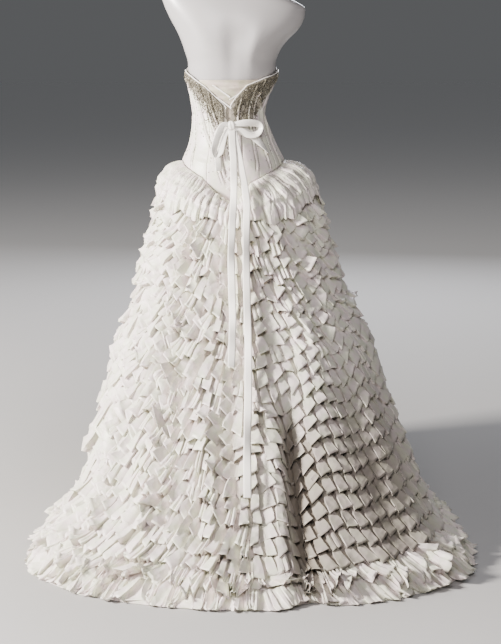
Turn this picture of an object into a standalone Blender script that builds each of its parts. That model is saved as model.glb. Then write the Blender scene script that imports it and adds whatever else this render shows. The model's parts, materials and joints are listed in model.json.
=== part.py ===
"""Wedding dress on a limbless dress form.

A strapless laced bodice with a pointed hip seam, a gathered hip flounce and a full trained skirt
covered in frills, on a plain stand.  Metres, +Z up.  The floor is z = 0 and the stand's pole is the
Z axis.  The front faces -Y, the train runs toward +Y and the wearer's left is +X.

Angles go round the Z axis: 0 at the centre back, 90 degrees at the wearer's left, 180 at the front.
"""

import math
from functools import lru_cache

import bmesh
import bpy
import numpy as np
from mathutils import Vector

# ---------------------------------------------------------------- thicknesses and gaps
BODICE_WALL = 0.0020
GORE_WALL = 0.0020
FRILL_WALL = 0.0013
FRILL_GAP = 0.0008            # a frill's heading to the foundation
FLOUNCE_WALL = 0.0015
PANEL_WALL = 0.0012          # modesty panel
LACE_WALL = 0.0010
RIBBON_WALL = 0.0010
SEAM_GAP = 0.0003
HIP_GAP = 0.0022              # upright, between the bodice and the skirt
PANEL_GAP = 0.0026           # the modesty panel to the curved bodice

# ---------------------------------------------------------------- rings
COLUMNS = 40                 # points round every ring of cloth
COLUMN_STEP = 360 / COLUMNS
FORM_COLUMNS = 32

# ---------------------------------------------------------------- body, at the bodice's outer face
# height, half width, shift to the left, depth behind, depth in front
BODY_SECTIONS = (
    (0.790, 0.135, -0.006, 0.100, 0.090),
    (0.860, 0.158, -0.006, 0.122, 0.104),
    (0.940, 0.168, -0.006, 0.132, 0.110),
    (1.020, 0.153, -0.004, 0.122, 0.106),
    (1.063, 0.133, -0.002, 0.104, 0.099),
    (1.110, 0.118, 0.003, 0.090, 0.094),
    (1.160, 0.108, 0.010, 0.082, 0.092),
    (1.210, 0.117, 0.008, 0.085, 0.099),
    (1.250, 0.131, 0.003, 0.090, 0.108),
    (1.285, 0.140, 0.000, 0.095, 0.114),
    (1.315, 0.141, 0.000, 0.098, 0.112),
    (1.350, 0.148, 0.000, 0.100, 0.106),
    (1.385, 0.168, 0.000, 0.099, 0.100),
    (1.425, 0.199, 0.000, 0.094, 0.090),
    (1.457, 0.213, 0.000, 0.086, 0.079),
    (1.485, 0.217, 0.000, 0.076, 0.069),
    (1.507, 0.208, 0.000, 0.067, 0.061),
    (1.525, 0.172, 0.000, 0.062, 0.056),
    (1.540, 0.120, 0.000, 0.059, 0.054),
    (1.555, 0.082, 0.000, 0.057, 0.053),
    (1.580, 0.062, 0.000, 0.055, 0.053),
    (1.612, 0.059, 0.000, 0.055, 0.053),
)
BODY_SQUARENESS = 0.94       # below 1 makes a section squarer than an ellipse
BUST_HEIGHT = 1.262
BUST_DEPTH = 0.020
BUST_ANGLE = 34              # each side of the centre front
BUST_SPREAD = 17
BUST_RISE = 0.048
SHOULDER_TILT = math.tan(math.radians(7))
TILT_START, TILT_FULL = 1.30, 1.46
FORM_INSET = 0.0090          # the form's face inside the bodice's outer face
BARE_INSET = 0.0040          # where nothing covers the form
FORM_RING_STEP = 0.024       # between its rings under the cloth
FORM_FOOT = 0.790

# ---------------------------------------------------------------- bodice edges
# angle from the centre back, height
TOP_EDGE_LEFT = (
    (0, 1.176), (12, 1.200), (35, 1.243), (60, 1.272), (80, 1.286),
    (105, 1.292), (130, 1.316), (150, 1.330), (168, 1.322), (180, 1.312),
)
TOP_EDGE_RIGHT = (
    (0, 1.176), (8, 1.207), (21, 1.246), (45, 1.266), (80, 1.284),
    (105, 1.292), (130, 1.316), (150, 1.330), (168, 1.322), (180, 1.312),
)
HIP_SEAM_LEFT = (
    (0, 0.890), (8, 0.912), (20, 0.944), (32, 0.976), (50, 0.996),
    (75, 1.016), (90, 1.020), (130, 1.000), (160, 0.965), (180, 0.935),
)
HIP_SEAM_RIGHT = (
    (0, 0.890), (6, 0.922), (16, 0.962), (37, 0.988), (60, 1.006),
    (75, 1.018), (90, 1.020), (130, 1.000), (160, 0.965), (180, 0.935),
)
# half width of the gap between the laced back edges
LACING_GAP = ((0.890, 0.0010), (0.960, 0.0035), (1.120, 0.0050), (1.180, 0.0060))
# name, the angles of its two seams at the top, the columns of its two seams at the hip
BODICE_PANELS = (
    ("bodice_back_left", 0, 34, 0, 3),
    ("bodice_side_back_left", 34, 64, 3, 6),
    ("bodice_side_left", 64, 104, 6, 11),
    ("bodice_front_left", 104, 160, 11, 18),
    ("bodice_centre_front", 160, 200, 18, 22),
    ("bodice_front_right", 200, 256, 22, 29),
    ("bodice_side_right", 256, 296, 29, 34),
    ("bodice_side_back_right", 296, 326, 34, 37),
    ("bodice_back_right", 326, 360, 37, 40),
)
BODICE_ROWS = 8
RUMPLE_DEPTH = 0.007         # the slack fold at the right of the waist
RUMPLE_ANGLE, RUMPLE_SPREAD = 286, 16
RUMPLE_HEIGHT, RUMPLE_RISE = 1.135, 0.030

# ---------------------------------------------------------------- skirt foundation
# height, half width, shift to the left, y of the widest point, y of the back, y of the front
SKIRT_SECTIONS = (
    (0.000, 0.592, -0.055, 0.713, 1.083, -0.425),
    (0.034, 0.560, -0.055, 0.665, 1.027, -0.413),
    (0.080, 0.508, -0.056, 0.600, 0.955, -0.400),
    (0.147, 0.465, -0.056, 0.510, 0.855, -0.380),
    (0.250, 0.434, -0.050, 0.400, 0.725, -0.348),
    (0.370, 0.395, -0.043, 0.290, 0.590, -0.312),
    (0.500, 0.357, -0.038, 0.200, 0.475, -0.275),
    (0.620, 0.305, -0.027, 0.120, 0.370, -0.240),
    (0.750, 0.271, -0.020, 0.050, 0.270, -0.200),
    (0.850, 0.243, -0.018, 0.023, 0.213, -0.172),
    (0.940, 0.219, -0.015, 0.006, 0.171, -0.142),
    (0.990, 0.190, -0.010, 0.002, 0.150, -0.122),
    (1.022, 0.153, -0.004, 0.000, 0.122, -0.106),
)
# the height of the first frill's heading at the back, sides and front
FRILL_LINE_BACK, FRILL_LINE_SIDE, FRILL_LINE_FRONT = 0.856, 0.922, 0.870
FRILL_LINE_ROUNDNESS = 1.5
VALLEY_ANGLE, VALLEY_SPREAD = 344, 6.0
VALLEY_DEPTH = 0.070         # the deep fold down the right of the train
# height, share of the valley's depth
VALLEY_PROFILE = ((0.00, 0.55), (0.05, 1.00), (0.30, 1.00), (0.42, 0.00), (1.10, 0.00))
# in order round the skirt from the centre back seam
GORES = (
    "gore_back_left", "gore_side_back_left", "gore_side_front_left", "gore_front_left",
    "gore_front_right", "gore_side_front_right", "gore_side_back_right", "gore_back_right",
)
GORE_COLUMNS = COLUMNS // len(GORES)

# ---------------------------------------------------------------- frills
FRILL_ROWS = 24
FRILL_OVERLAP = 0.3          # share of the row spacing that a frill hangs over the next
ROW_PITCH = 1 / (FRILL_ROWS + FRILL_OVERLAP)
ROWS_PER_FACET = 4
ROW_RISE = 2.2 * ROW_PITCH   # how much the middle rows climb from the centre back to the sides
RISE_TURN = 75               # degrees from the centre back over which they climb
FRILL_STAND = 0.025          # how far a lower edge stands off the foundation
FRILL_WAVE = 0.40            # share of the stand that the waves add and take
FRILL_PHASE = 0.38           # of a wave, from each row to the next
# first row, waves in each row from there on
WAVES = ((0, 6), (8, 8), (20, 12))
FLOOR_CLEARANCE = 0.0015

# ---------------------------------------------------------------- hip flounce
FLOUNCE_FOLDS = 8
FOLD_DEPTH = 0.008
# share of the way down, stand off the foundation
FLOUNCE_PROFILE = ((0.00, 0.0005), (0.22, 0.0190), (0.50, 0.0290), (0.78, 0.0250), (1.00, 0.0150))

# ---------------------------------------------------------------- modesty panel and piping
PANEL_HALF_COLUMNS = 5
PANEL_TOP = 1.262
PANEL_ROWS = 10
PANEL_RISE = 0.070           # its lower edge above the hip seam
PIPING_RADIUS = 0.0015

# ---------------------------------------------------------------- beaded lace
LACE_STEP = 5                # degrees between its columns
# angle from the centre back, width down from the top edge
LACE_WIDTH = ((8, 0.052), (14, 0.050), (35, 0.040), (60, 0.030), (84, 0.020))
LACE_COLUMNS = 15
LACE_ROWS = 5
LACE_SCALLOP = 0.006
LACE_START = 8
LACE_TOP_MARGIN = 0.003
LACE_GAP = 0.0014

# ---------------------------------------------------------------- lacing
LACE_CORD_RADIUS = 0.0015
LACING_CROSSINGS = 5
LACING_TOP, LACING_BOTTOM = 1.092, 0.945
LACING_REACH = 0.017         # each side of the centre
LACING_TURN = 0.004
LACING_STAND = 0.0026        # the first cord's middle off the bodice
CORD_STEP = 0.0034           # from the first cord's middle to the second's

# ---------------------------------------------------------------- bow and ribbon ends
RIBBON_WIDTH = 0.020
KNOT_SIZE = (0.020, 0.014, 0.024)
KNOT_PLACE = (0.000, 1.128)  # x, height
KNOT_STAND = 0.0092
# x, height, stand off the bodice, along the middle of the ribbon
BOW_LOOP_RIGHT = (
    (-0.0103, 1.134, 0.0125), (-0.030, 1.137, 0.0160), (-0.053, 1.140, 0.0185), (-0.072, 1.136, 0.0185),
    (-0.081, 1.122, 0.0165), (-0.074, 1.105, 0.0120), (-0.055, 1.100, 0.0085), (-0.032, 1.112, 0.0070),
    (-0.0103, 1.119, 0.0070),
)
BOW_LOOP_LEFT = (
    (0.0106, 1.131, 0.0125), (0.024, 1.130, 0.0165), (0.037, 1.102, 0.0190), (0.047, 1.070, 0.0190),
    (0.051, 1.044, 0.0165), (0.044, 1.030, 0.0135), (0.034, 1.042, 0.0110), (0.027, 1.070, 0.0105),
    (0.022, 1.097, 0.0100), (0.0112, 1.117, 0.0085),
)
BOW_END_RIGHT = (
    (-0.0109, 1.123, 0.0030), (-0.040, 1.112, 0.0026), (-0.068, 1.090, 0.0026), (-0.090, 1.066, 0.0040),
    (-0.106, 1.043, 0.0060),
)
BOW_END_LEFT = (
    (0.0106, 1.122, 0.0034), (0.034, 1.114, 0.0030), (0.043, 1.080, 0.0030), (0.041, 1.045, 0.0035),
    (0.035, 0.996, 0.0120),
)
# name, its line down the back as heights and places to the left, extra stand
LONG_ENDS = (
    ("ribbon_end_left", ((0.494, -0.0040), (1.030, -0.0060), (1.116, -0.0010)), 0.0022),
    ("ribbon_end_right", ((0.213, -0.0500), (0.925, -0.0450), (1.030, -0.0230), (1.116, -0.0050)), 0.0),
)
LONG_END_ROWS = 22
# height, distance behind the stand's axis: just clear of the cloth below
LONG_END_LINE = (
    (0.21, 0.840), (0.26, 0.778), (0.32, 0.709), (0.38, 0.640), (0.44, 0.582), (0.53, 0.503), (0.62, 0.427),
    (0.65, 0.403), (0.74, 0.334), (0.80, 0.304), (0.83, 0.287), (0.88, 0.241), (0.92, 0.212), (0.98, 0.180),
    (1.04, 0.1440), (1.08, 0.1190), (1.116, 0.0985),
)

# ---------------------------------------------------------------- stand
BASE_RADIUS, BASE_HEIGHT, BASE_BEVEL = 0.165, 0.012, 0.003
POLE_RADIUS = 0.0125
FLANGE_RADIUS, FLANGE_HEIGHT = 0.045, 0.014

SILK = (0.86, 0.84, 0.79)


def clear_scene():
    for item in list(bpy.data.objects):
        bpy.data.objects.remove(item, do_unlink=True)


def new_collection(name):
    collection = bpy.data.collections.new(name)
    bpy.context.scene.collection.children.link(collection)
    return collection


def finish_of(name, colour, roughness, metallic=0.0):
    """The named material, made the first time it is asked for."""
    material = bpy.data.materials.get(name)
    if material is None:
        material = bpy.data.materials.new(name)
        material.use_nodes = True
        shader = material.node_tree.nodes["Principled BSDF"]
        shader.inputs["Base Color"].default_value = (*colour, 1)
        shader.inputs["Roughness"].default_value = roughness
        shader.inputs["Metallic"].default_value = metallic
    return material


def taffeta():
    return finish_of("silk_taffeta", SILK, 0.45)


def satin_ribbon():
    return finish_of("satin_ribbon", (0.88, 0.86, 0.82), 0.32)


def beaded_lace():
    return finish_of("beaded_lace", (0.52, 0.49, 0.40), 0.40)


def lacquer():
    return finish_of("white_lacquer", (0.84, 0.84, 0.83), 0.30)


def painted_steel():
    return finish_of("painted_steel", (0.80, 0.80, 0.78), 0.35, 0.2)


def add_object(name, data, material):
    item = bpy.data.objects.new(name, data)
    data.materials.append(material)
    dress.objects.link(item)
    return item


def add_mesh(name, shape, material):
    """A bmesh as a smooth-shaded object."""
    bmesh.ops.recalc_face_normals(shape, faces=shape.faces)
    data = bpy.data.meshes.new(name)
    shape.to_mesh(data)
    shape.free()
    data.shade_smooth()
    data.set_sharp_from_angle(angle=math.radians(35))
    return add_object(name, data, material)


# ---------------------------------------------------------------- reading the tables
def on_line(table, place):
    """The second column of a two-column table, on straight lines between its rows."""
    return float(np.interp(place, [row[0] for row in table], [row[1] for row in table]))


def smooth_section(table, height):
    """Every column of a table at one height, on a smooth curve through its rows."""
    rows = np.array(table)
    heights = rows[:, 0]
    place = min(max(height, heights[0]), heights[-1])
    index = min(int(np.searchsorted(heights, place, side="right")) - 1, len(rows) - 2)
    slopes = np.gradient(rows, heights, axis=0)
    step = heights[index + 1] - heights[index]
    t = (place - heights[index]) / step
    return (
        rows[index] * (2 * t**3 - 3 * t**2 + 1)
        + slopes[index] * step * (t**3 - 2 * t**2 + t)
        + rows[index + 1] * (3 * t**2 - 2 * t**3)
        + slopes[index + 1] * step * (t**3 - t**2)
    )


def smooth_step(start, end, place):
    t = min(max((place - start) / (end - start), 0), 1)
    return t * t * (3 - 2 * t)


def turn_between(angle, other):
    """Degrees from one angle to another, the short way."""
    return (angle - other + 180) % 360 - 180


def bell(distance, spread):
    return math.exp(-((distance / spread) ** 2))


def edge_height(left, right, angle):
    """The height of an edge whose two halves have tables of their own."""
    turn = turn_between(angle, 0)
    return on_line(left if turn >= 0 else right, abs(turn))


def hip_seam(angle):
    return edge_height(HIP_SEAM_LEFT, HIP_SEAM_RIGHT, angle)


def top_edge(angle):
    return edge_height(TOP_EDGE_LEFT, TOP_EDGE_RIGHT, angle)


def two_half_ellipses(angle, half_width, shift, widest, back, front, squareness=1.0):
    """x and y on a section whose back and front halves meet at its widest point."""
    side, behind = math.sin(math.radians(angle)), math.cos(math.radians(angle))
    x = shift + half_width * math.copysign(abs(side) ** squareness, side)
    reach = (back - widest) if behind >= 0 else (widest - front)
    return x, widest + reach * math.copysign(abs(behind) ** squareness, behind)


# ---------------------------------------------------------------- the body
@lru_cache(maxsize=None)
def body_section(height):
    return tuple(smooth_section(BODY_SECTIONS, height))


def body(angle, height):
    """The bodice's outer face, and the body above and below it."""
    _, half_width, shift, back, front = body_section(round(height, 6))
    bust = BUST_DEPTH * bell(height - BUST_HEIGHT, BUST_RISE) * (
        bell(turn_between(angle, 180 - BUST_ANGLE), BUST_SPREAD)
        + bell(turn_between(angle, 180 + BUST_ANGLE), BUST_SPREAD)
    )
    x, y = two_half_ellipses(angle, half_width, shift, 0.0, back, -front, BODY_SQUARENESS)
    lift = x * SHOULDER_TILT * smooth_step(TILT_START, TILT_FULL, height)
    return Vector((x, y - bust, height + lift))


def rumple(angle, height):
    return RUMPLE_DEPTH * bell(turn_between(angle, RUMPLE_ANGLE), RUMPLE_SPREAD) * bell(
        height - RUMPLE_HEIGHT, RUMPLE_RISE
    )


def outward_normal(surface, angle, place, nudge=0.002):
    """The unit normal of a surface(angle, place), pointing away from the body."""
    round_it = surface(angle + 1, place) - surface(angle - 1, place)
    along_it = surface(angle, place + nudge) - surface(angle, place - nudge)
    normal = round_it.cross(along_it).normalized()
    away = Vector((math.sin(math.radians(angle)), math.cos(math.radians(angle)), 0))
    return normal if normal.dot(away) > 0 else -normal


def off_body(angle, height, stand):
    """A point that far outside the bodice's outer face."""
    return body(angle, height) + outward_normal(body, angle, height) * stand


# ---------------------------------------------------------------- the skirt
@lru_cache(maxsize=None)
def skirt_section(height):
    return tuple(smooth_section(SKIRT_SECTIONS, height))


def skirt_at(angle, height):
    _, half_width, shift, widest, back, front = skirt_section(round(height, 6))
    x, y = two_half_ellipses(angle, half_width, shift, widest, back, front)
    valley = (
        VALLEY_DEPTH
        * bell(turn_between(angle, VALLEY_ANGLE), VALLEY_SPREAD)
        * on_line(VALLEY_PROFILE, height)
    )
    return Vector((x, y - valley, height))


def frill_line(angle):
    """The height where the flounce ends and the frills begin."""
    behind = math.cos(math.radians(angle))
    end = FRILL_LINE_BACK if behind > 0 else FRILL_LINE_FRONT
    return FRILL_LINE_SIDE + (end - FRILL_LINE_SIDE) * abs(behind) ** FRILL_LINE_ROUNDNESS


def skirt(angle, height):
    """The foundation: it leaves the body at the hip seam and swells until the frills begin."""
    seam = hip_seam(angle)
    fade = smooth_step(frill_line(angle), seam, height)
    return skirt_at(angle, height) + (body(angle, seam) - skirt_at(angle, seam)) * fade


@lru_cache(maxsize=None)
def frill_zone(angle):
    """Shares of the slant length below the flounce, and the heights they lie at."""
    heights = np.linspace(frill_line(angle), 0, 61)
    points = [skirt(angle, height) for height in heights]
    steps = [(b - a).length for a, b in zip(points, points[1:])]
    lengths = np.concatenate([[0], np.cumsum(steps)])
    return lengths / lengths[-1], heights


def height_at(angle, slant):
    """slant is -1 at the hip seam, 0 at the first frill and 1 at the floor."""
    if slant < 0:
        return frill_line(angle) - slant * (hip_seam(angle) - frill_line(angle))
    shares, heights = frill_zone(angle)
    return float(np.interp(slant, shares, heights))


def row_slant(angle, slant):
    """Where a frill's line lies: the rows climb toward the sides, and the first and last are level."""
    climb = smooth_step(0, RISE_TURN, abs(turn_between(angle, 0)))
    return slant - ROW_RISE * climb * 4 * slant * (1 - slant)


FACET_ROWS = (-1.0, -0.5, *(row * ROW_PITCH for row in range(0, FRILL_ROWS, ROWS_PER_FACET)), 1.0)


def foundation(angle, slant):
    """A point on the flat facets that the gores are made of."""
    index = max(i for i, row in enumerate(FACET_ROWS[:-1]) if row <= slant or i == 0)
    start, end = FACET_ROWS[index], FACET_ROWS[index + 1]
    share = min((slant - start) / (end - start), 1)
    upper = skirt(angle, height_at(angle, start))
    lower = skirt(angle, height_at(angle, end))
    return upper.lerp(lower, share)


@lru_cache(maxsize=None)
def skirt_normal(angle, slant):
    return outward_normal(skirt, angle, height_at(angle, slant))


def off_skirt(angle, slant, stand):
    point = foundation(angle, slant) + skirt_normal(angle, slant) * stand
    point.z = max(point.z, FLOOR_CLEARANCE)
    return point


# ---------------------------------------------------------------- building walls
def valley_diagonal(outer, inner):
    """The two triangles of a four-cornered cell that fold inwards, as corner numbers."""
    out_of_wall = sum(outer, Vector()) - sum(inner, Vector())
    if (outer[0] + outer[2] - outer[1] - outer[3]).dot(out_of_wall) < 0:
        return (0, 1, 2), (0, 2, 3)
    return (0, 1, 3), (1, 2, 3)


def cloth_wall(name, outer, inner, material, closed=False, gaps=()):
    """A wall between two grids of points, [column][row] with rows going down.

    Columns go round by rising angle.  A gap is a (column, row) cell that is cut through.
    """
    columns, rows = len(outer), len(outer[0])
    spans = columns if closed else columns - 1
    shape = bmesh.new()
    outside = [[shape.verts.new(point) for point in column] for column in outer]
    inside = [[shape.verts.new(point) for point in column] for column in inner]
    cells = {(c, r) for c in range(spans) for r in range(rows - 1)} - set(gaps)
    for c, r in sorted(cells):
        after = (c + 1) % columns
        corners = ((c, r), (after, r), (after, r + 1), (c, r + 1))
        hollow = valley_diagonal([outer[i][j] for i, j in corners], [inner[i][j] for i, j in corners])
        for triangle in hollow:
            front = [outside[i][j] for i, j in (corners[k] for k in triangle)]
            back = [inside[i][j] for i, j in (corners[k] for k in reversed(triangle))]
            shape.faces.new(front)
            shape.faces.new(back)
        before = ((c - 1) % columns if closed else c - 1, r)
        beyond = ((c + 1) % columns if closed else c + 1, r)
        sides = (
            ((c, r - 1), (c, r), (after, r)),
            (beyond, (after, r), (after, r + 1)),
            ((c, r + 1), (after, r + 1), (c, r + 1)),
            (before, (c, r + 1), (c, r)),
        )
        for neighbour, start, end in sides:
            if neighbour not in cells:
                low, high = sorted((start, end))
                o1, i1 = outside[low[0]][low[1]], inside[low[0]][low[1]]
                o2, i2 = outside[high[0]][high[1]], inside[high[0]][high[1]]
                shape.faces.new((o1, i2, i1))
                shape.faces.new((o1, o2, i2))
    loose = [vertex for vertex in shape.verts if not vertex.link_faces]
    bmesh.ops.delete(shape, geom=loose, context="VERTS")
    return add_mesh(name, shape, material)


def loft(name, rings, material):
    """A closed tube through rings of points, with a flat end at each side."""
    shape = bmesh.new()
    rows = [[shape.verts.new(point) for point in ring] for ring in rings]
    for upper, lower in zip(rows, rows[1:]):
        for i in range(len(upper)):
            j = (i + 1) % len(upper)
            shape.faces.new((upper[i], upper[j], lower[j], lower[i]))
    shape.faces.new(rows[0])
    shape.faces.new(rows[-1])
    return add_mesh(name, shape, material)


def moved_along(columns, side):
    """The end column of a panel, moved half a seam gap back into its own panel."""
    end, beside = (columns[0], columns[1]) if side == 0 else (columns[-1], columns[-2])
    return [a + (b - a).normalized() * SEAM_GAP / 2 for a, b in zip(end, beside)]


def with_seam_gaps(columns):
    return [moved_along(columns, 0), *columns[1:-1], moved_along(columns, 1)]


def tube(name, points, radius, material, sides=0):
    curve = bpy.data.curves.new(name, "CURVE")
    curve.dimensions = "3D"
    curve.bevel_depth = radius
    curve.bevel_resolution = sides
    curve.use_fill_caps = True
    spline = curve.splines.new("POLY")
    spline.points.add(len(points) - 1)
    for place, point in zip(spline.points, points):
        place.co = (*point, 1)
    return add_object(name, curve, material)


# ---------------------------------------------------------------- dress form and stand
def build_form():
    covered = np.arange(FORM_FOOT, TILT_START, FORM_RING_STEP)
    heights = [*covered, *(row[0] for row in BODY_SECTIONS if row[0] > TILT_START)]
    rings = []
    for height in heights:
        angles = [i * 360 / FORM_COLUMNS for i in range(FORM_COLUMNS)]
        inset = FORM_INSET if height < TILT_START + 0.03 else BARE_INSET
        ring = [off_body(angle, height, -inset) for angle in angles]
        rings.append(ring)
    for point in rings[0]:
        point.z = FORM_FOOT
    loft("form_torso", rings[::-1], lacquer())


def build_stand():
    cylinder("stand_base", BASE_RADIUS, 0, BASE_HEIGHT, 32, BASE_BEVEL)
    cylinder("stand_pole", POLE_RADIUS, BASE_HEIGHT + SEAM_GAP, FORM_FOOT - FLANGE_HEIGHT - 2 * SEAM_GAP, 16)
    cylinder("stand_flange", FLANGE_RADIUS, FORM_FOOT - FLANGE_HEIGHT - SEAM_GAP, FORM_FOOT - SEAM_GAP, 20)


def cylinder(name, radius, bottom, top, sides, bevel=0.0):
    bpy.ops.mesh.primitive_cylinder_add(
        vertices=sides, radius=radius, depth=top - bottom, location=(0, 0, (bottom + top) / 2)
    )
    item = bpy.context.object
    item.name = name
    item.data.materials.append(painted_steel())
    for collection in list(item.users_collection):
        collection.objects.unlink(item)
    dress.objects.link(item)
    if bevel:
        rounding = item.modifiers.new("edge", "BEVEL")
        rounding.width = bevel
        rounding.segments = 1
        rounding.limit_method = "ANGLE"


# ---------------------------------------------------------------- bodice
def bodice_angle(column, row_share, panel):
    """The angle of a panel's column, which slants from its place at the top to the hip."""
    _, top_start, top_end, first, last = panel
    share = (column - first) / (last - first)
    top = top_start + (top_end - top_start) * share
    return top + (column * COLUMN_STEP - top) * row_share


def laced_edge(angle, height):
    """The angle, kept clear of the gap between the laced back edges."""
    half_gap = on_line(LACING_GAP, height) / body_section(round(height, 6))[1]
    limit = math.degrees(half_gap)
    return min(max(angle, limit), 360 - limit)


def bodice_column(column, panel, stand):
    points = []
    for row in range(BODICE_ROWS + 1):
        share = row / BODICE_ROWS
        angle = bodice_angle(column, share, panel)
        top_angle = bodice_angle(column, 0, panel)
        hip_angle = bodice_angle(column, 1, panel)
        top, bottom = top_edge(top_angle), hip_seam(hip_angle) + HIP_GAP / 2
        height = top + (bottom - top) * share
        angle = laced_edge(angle, height)
        points.append(off_body(angle, height, rumple(angle, height) + stand))
    return points


def build_bodice():
    for panel in BODICE_PANELS:
        name, _, _, first, last = panel
        columns = range(first, last + 1)
        outer = with_seam_gaps([bodice_column(c, panel, 0) for c in columns])
        inner = with_seam_gaps([bodice_column(c, panel, -BODICE_WALL) for c in columns])
        cloth_wall(name, outer, inner, taffeta())


def build_piping():
    """A round cord on the top edge, from one laced edge round the front to the other."""
    edge, sides = [], []
    for panel in BODICE_PANELS:
        _, _, _, first, last = panel
        for column in range(first, last if panel is not BODICE_PANELS[-1] else last + 1):
            outer, inner = (bodice_column(column, panel, stand)[0] for stand in (0, -BODICE_WALL))
            edge.append((outer + inner) / 2)
            sides.append((outer - inner).normalized())
    points = []
    for i, (point, side) in enumerate(zip(edge, sides)):
        along = (edge[min(i + 1, len(edge) - 1)] - edge[max(i - 1, 0)]).normalized()
        up = along.cross(side).normalized()
        if up.z < 0:
            up = -up
        points.append(point + up * (PIPING_RADIUS + SEAM_GAP))
    tube("bodice_piping", points, PIPING_RADIUS, satin_ribbon())


def build_modesty_panel():
    """The panel behind the lacing, between the form and the laced edges."""
    outer, inner = [], []
    for column in range(-PANEL_HALF_COLUMNS, PANEL_HALF_COLUMNS + 1):
        angle = column * COLUMN_STEP
        bottom = hip_seam(angle) + PANEL_RISE
        heights = np.linspace(PANEL_TOP, bottom, PANEL_ROWS)
        face = -BODICE_WALL - PANEL_GAP
        outer.append([off_body(angle, h, face) for h in heights])
        inner.append([off_body(angle, h, face - PANEL_WALL) for h in heights])
    cloth_wall("modesty_panel", outer, inner, taffeta())


def build_lace(name, side):
    """A beaded band down one side of the back, along the top edge."""
    outer, inner = [], []
    steps = range(LACE_COLUMNS + 1)
    for step in steps if side > 0 else reversed(steps):
        turn = LACE_START + step * LACE_STEP
        angle = side * turn
        top = top_edge(angle) - LACE_TOP_MARGIN
        width = on_line(LACE_WIDTH, turn) + LACE_SCALLOP * math.sin(step * math.pi / 2)
        heights = np.linspace(top, top - width, LACE_ROWS)
        outer.append([off_body(angle, h, LACE_GAP + LACE_WALL) for h in heights])
        inner.append([off_body(angle, h, LACE_GAP) for h in heights])
    gaps = [
        (column, row)
        for row in range(1, LACE_ROWS - 2)
        for column in range(1, LACE_COLUMNS - 3)
        if (column + 2 * row) % 4 == 0
    ]
    cloth_wall(name, outer, inner, beaded_lace(), gaps=gaps)


def build_lacing(name, start_side, stand):
    """One of the two cords that cross from edge to edge down the back."""
    points = []
    for crossing in range(LACING_CROSSINGS + 1):
        height = LACING_TOP + (LACING_BOTTOM - LACING_TOP) * crossing / LACING_CROSSINGS
        side = start_side * (-1) ** crossing
        for shift, share in ((LACING_TURN, 0.8), (0, 1), (-LACING_TURN, 0.8)):
            place = height + shift
            angle = math.degrees(side * LACING_REACH * share / body_section(round(place, 6))[1])
            points.append(off_body(angle, place, stand))
    tube(name, points, LACE_CORD_RADIUS, satin_ribbon())


# ---------------------------------------------------------------- bow and ribbon ends
def on_bodice(x, height, stand):
    """A point off the back of the bodice, by its x."""
    _, half_width, shift, _, _ = body_section(round(height, 6))
    side = (x - shift) / half_width
    angle = math.degrees(math.asin(math.copysign(abs(side) ** (1 / BODY_SQUARENESS), side)))
    return off_body(angle, height, stand)


def ribbon(name, middle, directions):
    """A flat ribbon along a line of points; directions point across it."""
    outer, inner = [[], []], [[], []]
    for i, (point, across) in enumerate(zip(middle, directions)):
        along = middle[min(i + 1, len(middle) - 1)] - middle[max(i - 1, 0)]
        face = along.cross(across).normalized()
        for column, side in ((0, -1), (1, 1)):
            edge = point + across * (side * RIBBON_WIDTH / 2)
            outer[column].append(edge + face * RIBBON_WALL / 2)
            inner[column].append(edge - face * RIBBON_WALL / 2)
    cloth_wall(name, outer, inner, satin_ribbon())


def flat_ribbon(name, places):
    """A ribbon lying against the back, through (x, height, stand) places."""
    middle = [on_bodice(*place) for place in places]
    lifted = [on_bodice(x, height, stand + RIBBON_WIDTH) for x, height, stand in places]
    directions = []
    for i, (point, above) in enumerate(zip(middle, lifted)):
        along = middle[min(i + 1, len(middle) - 1)] - middle[max(i - 1, 0)]
        directions.append(along.cross(above - point).normalized())
    ribbon(name, middle, directions)


def build_bow():
    x, height = KNOT_PLACE
    bpy.ops.mesh.primitive_cube_add(size=1, location=on_bodice(x, height, KNOT_STAND), scale=KNOT_SIZE)
    knot = bpy.context.object
    knot.name = "bow_knot"
    bpy.ops.object.transform_apply(location=False, rotation=False, scale=True)
    knot.data.materials.append(satin_ribbon())
    for collection in list(knot.users_collection):
        collection.objects.unlink(knot)
    dress.objects.link(knot)
    rounding = knot.modifiers.new("soft_edge", "BEVEL")
    rounding.width = 0.004
    rounding.segments = 2
    flat_ribbon("bow_loop_right", BOW_LOOP_RIGHT)
    flat_ribbon("bow_loop_left", BOW_LOOP_LEFT)
    flat_ribbon("bow_end_right", BOW_END_RIGHT)
    flat_ribbon("bow_end_left", BOW_END_LEFT)


def build_long_ends():
    start = KNOT_PLACE[1] - KNOT_SIZE[2] / 2 - 2 * SEAM_GAP
    for name, path, extra in LONG_ENDS:
        middle = []
        for row in range(LONG_END_ROWS + 1):
            height = start + (path[0][0] - start) * row / LONG_END_ROWS
            behind = on_line(LONG_END_LINE, height) + extra
            middle.append(Vector((on_line(path, height), behind, height)))
        ribbon(name, middle, [Vector((1, 0, 0))] * len(middle))


# ---------------------------------------------------------------- skirt
def gore_wall_inside(angle, slant, outside):
    """The inner point, moved level with the floor at the hem."""
    normal = skirt_normal(angle, slant)
    if slant < 1:
        return outside - normal * GORE_WALL
    level = Vector((normal.x, normal.y, 0)).normalized()
    return outside - level * (GORE_WALL / normal.dot(level))


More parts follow.
